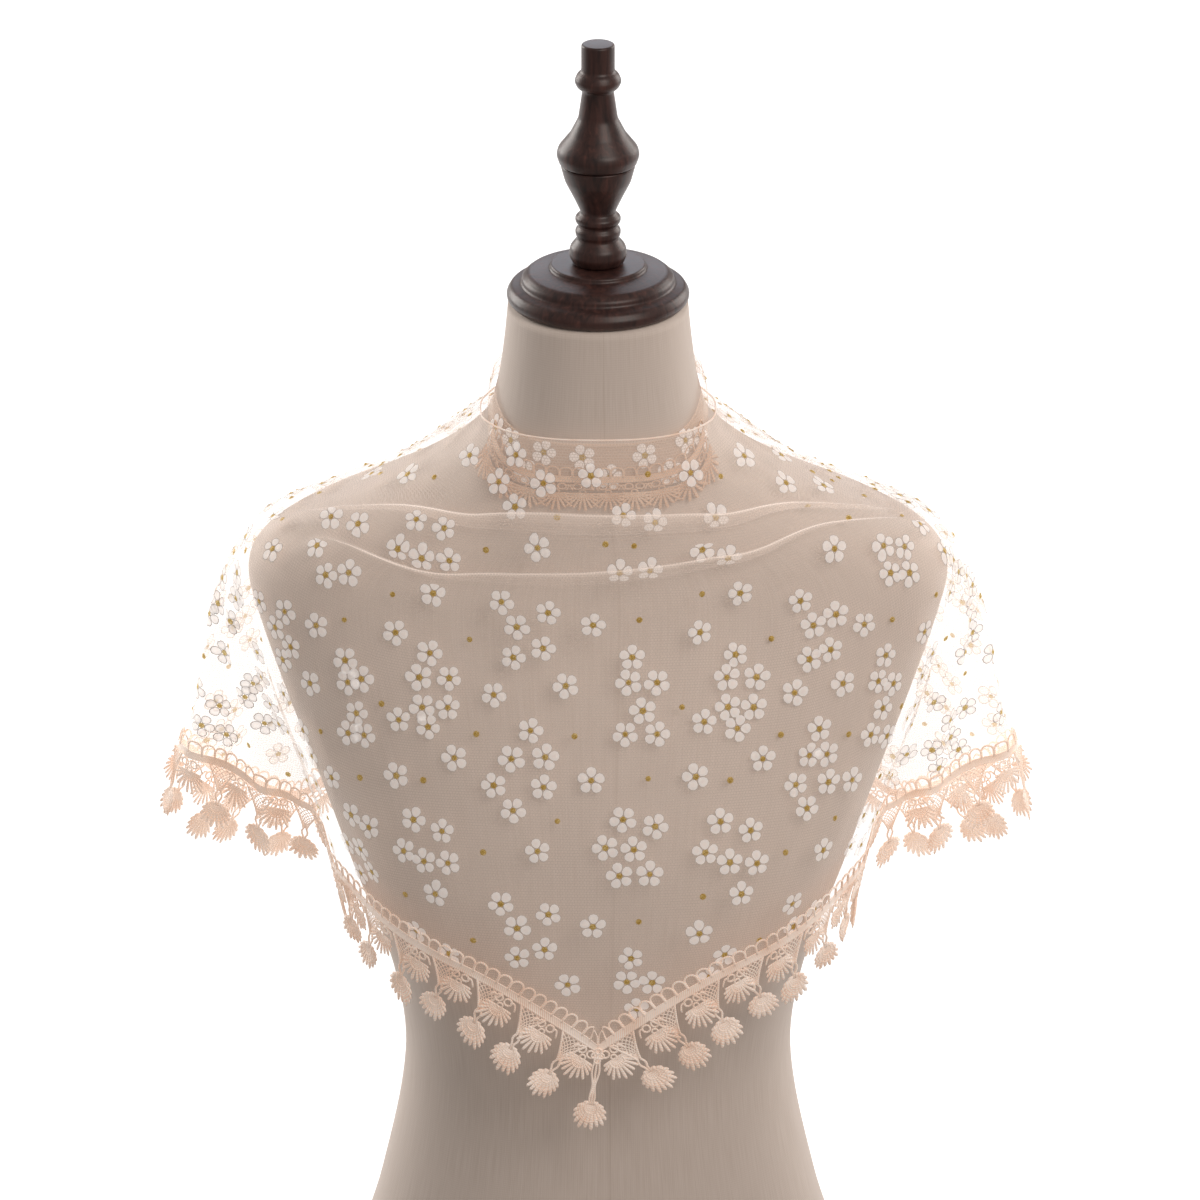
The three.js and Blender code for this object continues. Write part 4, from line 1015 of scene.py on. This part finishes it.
def charts():
    """Each stretch of the cloth with its own flat chart: the front as seen by level, the rest by travel."""
    level = -(cloth[..., 2] * np.cos(VIEW_TILT) + cloth[..., 1] * np.sin(VIEW_TILT))
    level = level + VIEW_CENTRE[2] * np.cos(VIEW_TILT)
    front = np.stack([travel_across - PRINT_START, level], axis=-1)
    mixed_travel = travel_across[-1:] * HEM_SHARE + travel_across * (1 - HEM_SHARE)
    rest = np.stack([mixed_travel, travel_down - travel_down[-1:]], axis=-1)
    reach = np.abs(row_stations)
    free = ~row_turns & (row_places > PRINT_EDGES[0]) & (row_places < PRINT_EDGES[1])
    at_front = free & (reach < FRONT_END - 0.05)
    return [(front, at_front), (rest, free & (reach > FRONT_END + 0.05) & (reach < LAST - 0.5))]


def on_sheet(sheet, row, column, across, down, height):
    """Points of small motifs on a sheet, moved out by a height.

    Offsets in millimetres are turned into grid steps by the sheet's own tangents, and the grid is read
    between its points.
    """
    step_across, step_down = sheet["across"][row, column], sheet["down"][row, column]
    right = unit(step_across)
    below = np.cross(right, sheet["out"][row, column])
    below = np.where(dot(below, step_down) < 0, -below, below)
    a, b = dot(step_across, right), dot(step_down, right)
    c, d = dot(step_across, below), dot(step_down, below)
    whole = a * d - b * c
    last_row, last_column = np.array(sheet["points"].shape[:2]) - 1.001
    columns = np.clip(column[:, None] + (d * across - b * down) / whole, 0, last_column)
    rows = np.clip(row[:, None] + (a * down - c * across) / whole, 0, last_row)
    i, j = columns.astype(int), rows.astype(int)
    p, q = (columns - i)[..., None], (rows - j)[..., None]

    def read(grid):
        upper = grid[j, i] * (1 - p) + grid[j, i + 1] * p
        lower = grid[j + 1, i] * (1 - p) + grid[j + 1, i + 1] * p
        return upper * (1 - q) + lower * q

    return read(sheet["points"]) + unit(read(sheet["out"])) * height[..., None]


def dome(count, reach_along, reach_across, rim, crown):
    """An oval dome with count rim points and one crown: points across, down and high, and its triangles."""
    turn = 2 * np.pi * np.arange(count) / count
    edge = np.stack([reach_along * np.cos(turn), reach_across * np.sin(turn), np.full(count, rim)], axis=-1)
    points = np.concatenate([edge, [[0.0, 0.0, crown]]])
    following = (np.arange(count) + 1) % count
    return points, np.stack([np.arange(count), np.full(count, count), following], axis=-1)


def daisy_petals():
    """Oval domes set round a middle, each a little narrower towards it."""
    petal, faces = dome(10, *PETAL, 0.12, 0.5)
    petal[:, 1] *= 1 + 0.07 * petal[:, 0]
    turns = 2 * np.pi * np.arange(PETAL_COUNT) / PETAL_COUNT + np.pi / 2
    along, across = petal[:, 0] + DAISY_REACH - PETAL[0], petal[:, 1]
    x = np.cos(turns)[:, None] * along - np.sin(turns)[:, None] * across
    y = np.sin(turns)[:, None] * along + np.cos(turns)[:, None] * across
    points = np.stack([x, y, np.broadcast_to(petal[:, 2], x.shape)], axis=-1).reshape(-1, 3)
    return points, np.concatenate([faces + k * len(petal) for k in range(PETAL_COUNT)])


def scattered(sheet, row, column, rest, shape, faces, size):
    """Copies of a small motif at places on a sheet, a rest away from grid points, each turned and sized.

    A copy that a fold would pull apart is left out.
    """
    turn = chance.uniform(0, 2 * np.pi, len(row))
    cos, sin = np.cos(turn)[:, None] * size[:, None], np.sin(turn)[:, None] * size[:, None]
    across = rest[:, :1] + cos * shape[:, 0] - sin * shape[:, 1]
    down = rest[:, 1:] + sin * shape[:, 0] + cos * shape[:, 1]
    points = on_sheet(sheet, row, column, across, down, np.broadcast_to(shape[:, 2], across.shape))
    spread = np.linalg.norm(points - points.mean(axis=1, keepdims=True), axis=-1).max(axis=1)
    points = points[spread < TORN_SHARE * np.abs(shape[:, :2]).max() * size]
    copies = (faces[None] + (np.arange(len(points)) * len(shape))[:, None, None]).reshape(-1, 3)
    return points.reshape(-1, 3), [copies]


def add_daisies(name, sheet, row, column, rest):
    """Daisies of white flock at places on a sheet; the mark is 1 at a petal's rim and 0 at its crown."""
    petals, faces = daisy_petals()
    size = chance.uniform(*DAISY_SIZES, len(row))
    points, copies = scattered(sheet, row, column, rest, petals + [0, 0, 0.25], faces, size)
    rim = np.tile(petals[:, 2] < 0.3, len(points) // len(petals))
    return add_piece(name, points, copies, FLOCK, marks={"edge": rim})


def add_gold(name, sheet, row, column, rest):
    """Round drops of gold glitter at places on a sheet."""
    drop, faces = dome(7, GOLD_REACH, GOLD_REACH, 0.3, 1.1)
    size = chance.uniform(*GOLD_SIZES, len(row))
    points, copies = scattered(sheet, row, column, rest, drop, faces, size)
    return add_piece(name, points, copies, GLITTER)


def cloth_print():
    """Row, column and rest of the daisies, and of the gold, which is in every eye and in the dots between."""
    charted = [(x + dx, y + dy) for posy, x, y in PRINT_CHART for dx, dy in POSIES[posy]]
    daisies, dots = over_repeats(np.array(charted, float)), over_repeats(GOLD_DOTS.astype(float))
    apart = np.linalg.norm(dots[:, None] - daisies[None], axis=-1).min(axis=1)
    dots = dots[apart > DOT_APART * DAISY_REACH]
    found = [[nearest_on_cloth(places, *chart) for chart in charts()] for places in (daisies, dots)]
    daisies, dots = ([np.concatenate([part[k] for part in parts]) for k in (0, 1, 2)] for parts in found)
    return daisies, [np.concatenate([daisies[k], dots[k]]) for k in (0, 1, 2)]


def wound_print():
    """Places of the daisies on the wound tails, from their angle and their share down the band."""
    row = np.round(WOUND_DAISIES[:, 1] * (WOUND_ROWS - 1)).astype(int)
    column = np.round((WOUND_DAISIES[:, 0] + 180) / 360 * WOUND_COLUMNS).astype(int)
    return row, column, np.zeros((len(row), 2))


daisy_places, gold_places = cloth_print()
flowers = add_daisies("shawl_daisies", CLOTH, *daisy_places)
gold = add_gold("shawl_gold_dots", CLOTH, *gold_places)
wound_flowers = add_daisies("tails_daisies", WOUND, *wound_print())
wound_gold = add_gold("tails_gold_eyes", WOUND, *wound_print())


# Lace border

HEM_STATIONS = np.linspace(0, LAST, 661)
hem_line = cloth_point(HEM_STATIONS, np.ones_like(HEM_STATIONS), np.zeros_like(HEM_STATIONS))
hem_above = cloth_point(HEM_STATIONS, np.full_like(HEM_STATIONS, 0.94), np.zeros_like(HEM_STATIONS))
hem_down = unit(hem_line - hem_above)
hem_travel = np.concatenate([[0.0], np.cumsum(np.linalg.norm(np.diff(hem_line, axis=0), axis=-1))])
HEM_LENGTH = hem_travel[-1]


def length_at(station):
    """Length along the hem from the front point to a station."""
    return np.interp(station, HEM_STATIONS, hem_travel)


def read_hem(line, length):
    """A line stored along the hem, read at lengths between its points."""
    return np.stack([np.interp(length, hem_travel, line[:, k]) for k in range(3)], axis=-1)


def without(vectors, axis):
    """Unit vectors with their part along an axis taken out."""
    return unit(vectors - axis * dot(vectors, axis))


def hem_frame(length, mitre):
    """The hem at a length: point, along, down the cloth, square to it, down the lace, out, how far out."""
    point, down = read_hem(hem_line, length), unit(read_hem(hem_down, length))
    along = unit(read_hem(hem_line, length + TANGENT_REACH) - read_hem(hem_line, length - TANGENT_REACH))
    square = without(down, along)
    out = np.cross(square, along)
    at_point = 1 - smooth(length, 0, mitre)
    at_nape = NAPE_PLUMB * smooth(length, length_at(8.5), length_at(10))
    at_flap = FLAP_PLUMB * np.exp(-(((length - length_at(FLAP_CORNER)) / FLAP_REACH) ** 2))
    plumb = np.maximum(np.maximum(at_point, at_nape), at_flap)[..., None]
    drop = unit(square * (1 - plumb) + without(np.broadcast_to([0.0, 0.0, -1.0], out.shape), out) * plumb)
    raised = LACE_RAISE + CORNER_STAND * np.exp(-(((length - length_at(FLAP_CORNER)) / CORNER_REACH) ** 2))
    return point, along, down, square, drop, out, raised[..., None]


def place_band(s, h, n):
    """Loops and braid follow the cloth's lines: s along the hem, h up from the braid's top edge, n out."""
    below = (-h - LACE_BAND)[..., None]
    _, along, down, square, drop, out, raised = hem_frame(s, LOOP_MITRE)
    slope = dot(drop, square) / dot(down, square)
    slip = dot(drop, along) - slope * dot(down, along)
    root = s + (slip * below)[..., 0]
    hung = read_hem(hem_line, root) + unit(read_hem(hem_down, root)) * slope * below
    return hung + out * (raised + n[..., None])


def place_motif(middle, s, h, n):
    """A motif hangs whole from the hem at its middle, straight down the lace, and settles on the form."""
    below = (-h - LACE_BAND)[..., None]
    point, along, _, _, drop, out, raised = hem_frame(middle, MOTIF_MITRE)
    hung = point + along * s[..., None] + drop * below
    return settle(hung, CLOTH_CLEARANCE) + out * (raised + n[..., None])


def band_work():
    """One repeat of the band: a flat braid with a rib at each edge, and upright arches along its top."""
    share = np.linspace(0, 1, 13)
    s = np.linspace(0, LACE_REPEAT, 13)
    face = 0.4 + 0.35 * np.exp(-(((np.abs(share - 0.5) - 0.42) / 0.08) ** 2))
    h = BRAID_RISE - np.concatenate([share, share[::-1][1:-1]]) * (LACE_BAND + BRAID_RISE)
    n = np.concatenate([face, np.full(11, -0.35)])
    points = np.stack(np.broadcast_arrays(s[None], h[:, None], n[:, None]), axis=-1).reshape(-1, 3)
    around = np.concatenate([np.arange(len(h)), [0]])
    faces = grid_faces(len(around), len(s)).reshape(-1)
    faces = (around[faces // len(s)] * len(s) + faces % len(s)).reshape(-1, 4)
    braid = points, points[:, :2].copy(), [faces]
    pitch = LACE_REPEAT / LOOPS_PER_REPEAT
    half = 0.47 * pitch
    turn = np.linspace(0, np.pi, 9)
    across = np.concatenate([[1.0, 1.0], np.cos(turn), [-1.0, -1.0]]) * half
    rise = np.concatenate([[-0.6, 1.8], LOOP_HEIGHT - half + half * np.sin(turn), [1.8, -0.6]])
    middle = (np.arange(LOOPS_PER_REPEAT) + 0.5)[:, None] * pitch
    loops = np.stack(np.broadcast_arrays(middle - across, rise, 0.15 - 0.3 * across / half), axis=-1)
    return joined([braid, cords(loops, 0.6)])


def fringed_shell(top, reach):
    """A round shell of fingers spread from its top, each an uneven chord of a circle, with two arcs across.

    Inside, the fingers merge, and at the rim they part.
    """
    angle = np.radians(np.linspace(-80, 80, SHELL_FINGERS))[:, None]
    share = np.array([0.0, 0.25, 0.5, 0.75, 0.93, 1.0])
    uneven = 1 + 0.05 * np.sin(2.4 * np.arange(SHELL_FINGERS) ** 1.5)[:, None]
    length = reach * np.cos(angle) ** 0.8 * uneven * share
    out = np.broadcast_to(0.15 * np.sin(np.pi * share), length.shape)
    ribs = np.stack([length * np.sin(angle), top - length * np.cos(angle), out], axis=-1)
    turn = np.radians(np.linspace(-72, 72, 13))
    chord = np.array([0.4, 0.7])[:, None] * reach * np.cos(turn) ** 0.8
    arcs = np.stack([chord * np.sin(turn), top - chord * np.cos(turn), np.full_like(chord, 0.75)], axis=-1)
    thick = np.array([0.45, 0.85, 1.2, 1.38, 1.05, 0.45])
    return joined([cords(ribs, thick, flatness=0.62), cords(arcs, 0.34, sides=4)])


def rings_work(places, radius, cord):
    """Small rings of cord at places in the flat lace."""
    turn = np.linspace(0, 2 * np.pi, 13)
    circle = np.stack([radius * np.cos(turn), radius * np.sin(turn), np.zeros(13)], axis=-1)
    return cords(np.asarray(places, float)[:, None] + circle, cord)


def shell_work():
    """The long motif: a diamond net between two cords that narrow to a keyhole and stem, a shell below."""
    t = np.linspace(0, 1, 8)
    half = np.concatenate([STEM_HALF + NET_HALF * (1 - t) ** NET_TAPER, KEYHOLE[:, 0]])
    h = np.concatenate([-LACE_BAND - NET_DEPTH * t, KEYHOLE[:, 1]])
    edge = np.stack([half, h, np.full_like(h, 0.25)], axis=-1)
    edges = cords([edge * [-1, 1, 1], edge], CORD)
    q = np.linspace(-1, 1, 6)
    down = np.clip(np.linspace(-0.72, 0.76, 9)[:, None] + 0.42 * (q + 1), 0, 1)
    width = STEM_HALF + NET_HALF * (1 - down) ** NET_TAPER
    slanting = np.stack([q * width, -LACE_BAND - (NET_DEPTH - 0.4) * down, np.zeros_like(width)], axis=-1)
    net = cords(np.concatenate([slanting, slanting * [-1, 1, 1]]), 0.3, sides=4)
    return joined([edges, net, fringed_shell(SHELL_TOP, SHELL_REACH)])


def fan_work():
    """The short motif: three rings that carry an open fan of fingers, with arcs to the motifs beside."""
    pair = rings_work([[-3.0, -7.7, 0.2], [3.0, -7.7, 0.3]], 2.3, 0.6)
    knot = rings_work([[0, -11.8, 0.3]], 1.6, 0.55)
    angle = np.radians(np.linspace(-84, 84, FAN_FINGERS))[:, None]
    share = np.array([0.0, 0.3, 0.55, 0.8, 0.95, 1.0])
    length = FAN_REACH * np.cos(0.9 * angle) ** FAN_OPENING * (1 + 0.06 * np.cos(9 * angle)) * share
    x, h = length * np.sin(angle), FAN_TOP - length * np.cos(angle)
    fingers = np.stack([x, h, np.full_like(x, 0.15)], axis=-1)
    fan = cords(fingers, np.array([0.35, 0.65, 0.85, 0.98, 0.85, 0.45]), flatness=0.65)
    turn = np.radians(np.linspace(-80, 80, 13))
    chord = 6.4 * np.cos(0.9 * turn) ** FAN_OPENING
    tie = np.stack([chord * np.sin(turn), FAN_TOP - chord * np.cos(turn), np.full_like(turn, 0.45)], axis=-1)
    t = np.linspace(0, 1, 8)
    h = -7.4 + 1.6 * np.sin(np.pi * t) - 3.6 * t**2
    link = np.stack([4.6 + 4.4 * t, h, np.full_like(t, 0.2)], axis=-1)
    return joined([pair, knot, fan, cords([tie], 0.42), cords([link * [-1, 1, 1], link], 0.55)])


def repeated(work, count):
    """The flat map and the faces of a work repeated count times."""
    points, uv, faces = work
    shift = (np.arange(count) * len(points))[:, None, None]
    return np.tile(uv, (count, 1)), [(part[None] + shift).reshape(-1, part.shape[1]) for part in faces]


BAND, SHELL, FAN = band_work(), shell_work(), fan_work()
MOTIFS = [(SHELL, SHELL_CENTRE), (FAN, FAN_CENTRE)]


def hanging(work, count):
    """The points of a motif for each repeat, with its own swing aside and curl out, growing downwards."""
    points = work[0]
    below = -points[:, 1] - LACE_BAND
    swing = chance.uniform(-MOTIF_SWING, MOTIF_SWING, count)[:, None]
    curl = chance.uniform(*MOTIF_CURL, count)[:, None]
    twist = chance.uniform(-MOTIF_TWIST, MOTIF_TWIST, count)[:, None]
    deep = np.clip(below / CURL_LENGTH, 0, 1.2) ** 2
    s = points[:, 0] + swing * below**2 / SWING_LENGTH
    n = points[:, 2] + curl * deep + twist * points[:, 0] * deep
    return s, np.broadcast_to(points[:, 1], s.shape), n


def lace_work(start, end, left):
    """A run of lace from start to end along the hem: band and motifs repeated, and mirrored for the left."""
    count = int(round((end - start) / LACE_REPEAT))
    pitch = (end - start) / count
    first = start + pitch * np.arange(count)[:, None]
    flat = BAND[0]
    s = first + flat[:, 0] * pitch / LACE_REPEAT
    h, n = (np.broadcast_to(flat[:, k], s.shape) for k in (1, 2))
    works = [(place_band(s, h, n).reshape(-1, 3), *repeated(BAND, count))]
    for motif, centre in MOTIFS:
        s, h, n = hanging(motif, count)
        middle = np.broadcast_to(first + centre * pitch, s.shape)
        works.append((place_motif(middle, s, h, n).reshape(-1, 3), *repeated(motif, count)))
    points, uv, faces = joined(works)
    if left:
        return points * [-1, 1, 1], uv, [part[:, ::-1] for part in faces]
    return points, uv, faces


def add_border():
    """Six runs of lace along the hem, three to a side."""
    cuts = [0.0, length_at(FRONT_END), length_at(SIDE_END), HEM_LENGTH]
    pieces = []
    for part, start, end in zip(("front", "side", "back"), cuts, cuts[1:]):
        for hand in ("right", "left"):
            points, uv, faces = lace_work(start, end, hand == "left")
            piece = add_piece(f"lace_{part}_{hand}_thread", points, faces, LACE, uv)
            pieces.append(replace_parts(piece, f"lace_{part}_{hand}"))
    return pieces


def add_point_shell():
    """The single shell at the front point: three wavering cords as a stem, a knot of rings, a round shell."""
    h = np.linspace(0.5, -POINT_STEM, 16)
    apart = 1.5 + 0.5 * np.cos(h / 9) + 0.5 * np.sin(h / 2.6)
    stems = [np.stack([side * apart, h, np.full_like(h, 0.2)], axis=-1) for side in (-1, 0, 1)]
    knot = rings_work([[-1.9, -1.5, 0.5], [1.9, -1.5, 0.5], [0, 1.4, 0.6], [0, -4.6, 0.6]], 1.7, 0.55)
    points, uv, faces = joined([cords(stems, 0.62), knot, fringed_shell(POINT_SHELL_TOP, POINT_SHELL_REACH)])
    start = place_motif(np.zeros(1), np.zeros(1), np.full(1, -LACE_BAND), np.zeros(1))[0]
    cos, sin = np.cos(POINT_LEAN), np.sin(POINT_LEAN)
    x = cos * points[:, 0] + sin * points[:, 1]
    z = cos * points[:, 1] - sin * points[:, 0]
    placed = start + np.stack([x, -points[:, 2] - 0.6, z], axis=-1)
    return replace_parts(add_piece("lace_point_thread", placed, faces, LACE, uv), "lace_point")


def add_neck_lace():
    """The lace of the wound tails, seen through the cowl: band and fans laid round the front of the neck."""
    reach = np.radians(WRAP_LACE_ANGLE) * WRAP_LACE_RADIUS
    count = int(round(2 * reach / LACE_REPEAT))
    first = -reach + LACE_REPEAT * np.arange(count)[:, None] + (reach - count * LACE_REPEAT / 2)
    works = []
    for work, centre in ((BAND, 0.0), *((FAN, share) for share in WRAP_LACE_MOTIFS)):
        flat = work[0]
        s = first + centre * LACE_REPEAT + flat[:, 0]
        angle = np.clip(np.degrees(s / WRAP_LACE_RADIUS), -WRAP_LACE_ANGLE, WRAP_LACE_ANGLE)
        bottom, clearance = np.moveaxis(read_table(WRAP[:, 0], WRAP[:, 2:], np.abs(angle)), -1, 0)
        height = bottom + WRAP_LACE_RISE + WRAP_LACE_SQUEEZE * flat[:, 1]
        points = beside_neck(angle, height, clearance + WRAP_LACE_STAND + 0.6 * flat[:, 2])
        works.append((points.reshape(-1, 3), *repeated(work, count)))
    points, uv, faces = joined(works)
    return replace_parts(add_piece("lace_neck_thread", points, faces, WOUND_LACE, uv), "lace_neck")


border = add_border()
point_shell = add_point_shell()
neck_lace = add_neck_lace()


# Floor and light


def floor_finish():
    """A pale matt floor that glows towards the back, as a studio floor under a bright backdrop does."""
    finish, tree = new_finish("pale_studio_floor")
    place = add_node(tree, "ShaderNodeTexCoord")
    axes = add_node(tree, "ShaderNodeSeparateXYZ", {"Vector": place.outputs["Object"]})
    glow = add_node(
        tree,
        "ShaderNodeMapRange",
        {"Value": axes.outputs["Y"], "From Min": 0.0, "From Max": 0.2, "To Min": 0.0, "To Max": 0.9},
    )
    shader = add_node(
        tree,
        "ShaderNodeBsdfPrincipled",
        {"Base Color": linear("#a5a3a1"), "Roughness": 0.8, "Emission Color": (1, 1, 1, 1),
         "Emission Strength": glow.outputs[0]},
    )
    add_node(tree, "ShaderNodeOutputMaterial", {"Surface": shader.outputs["BSDF"]})
    return finish


def add_floor():
    """A wide level square just under the form."""
    mesh = bpy.data.meshes.new("floor")
    edge, level = 9.0, -0.0006
    corners = [(-edge, -edge, level), (edge, -edge, level), (edge, edge, level), (-edge, edge, level)]
    mesh.from_pydata(corners, [], [(0, 1, 2, 3)])
    mesh.materials.append(floor_finish())
    floor = bpy.data.objects.new("floor", mesh)
    bpy.context.scene.collection.objects.link(floor)


def add_softbox(name, place, aim, size, power, colour):
    """A square soft light at a place, turned to its aim."""
    light = bpy.data.lights.new(name, "AREA")
    light.shape = "SQUARE"
    light.size = size
    light.energy = power
    light.color = linear(colour)[:3]
    lamp = bpy.data.objects.new(name, light)
    bpy.context.scene.collection.objects.link(lamp)
    lamp.location = place
    lamp.rotation_euler = Vector(aim - np.array(place)).to_track_quat("-Z", "Y").to_euler()


add_floor()
add_softbox("front_right_softbox", (1.5, -2.1, 2.7), (0.0, 0.0, 0.65), 1.8, 45.0, "#fff4ec")
add_softbox("back_right_softbox", (1.9, 1.5, 1.3), (0.0, 0.0, 0.5), 1.4, 25.0, "#fffaf5")
add_softbox("back_left_softbox", (-1.9, 1.5, 1.3), (0.0, 0.0, 0.5), 1.4, 40.0, "#fffaf5")
add_softbox("high_back_softbox", (0.0, 2.8, 2.1), (0.0, 0.0, 0.7), 2.0, 24.0, "#eef3ff")

room = bpy.data.worlds.new("white_room")
room.use_nodes = True
room.node_tree.nodes["Background"].inputs["Color"].default_value = (1.0, 0.95, 0.91, 1.0)
room.node_tree.nodes["Background"].inputs["Strength"].default_value = 0.3
bpy.context.scene.world = room
bpy.context.scene.view_settings.view_transform = "Standard"
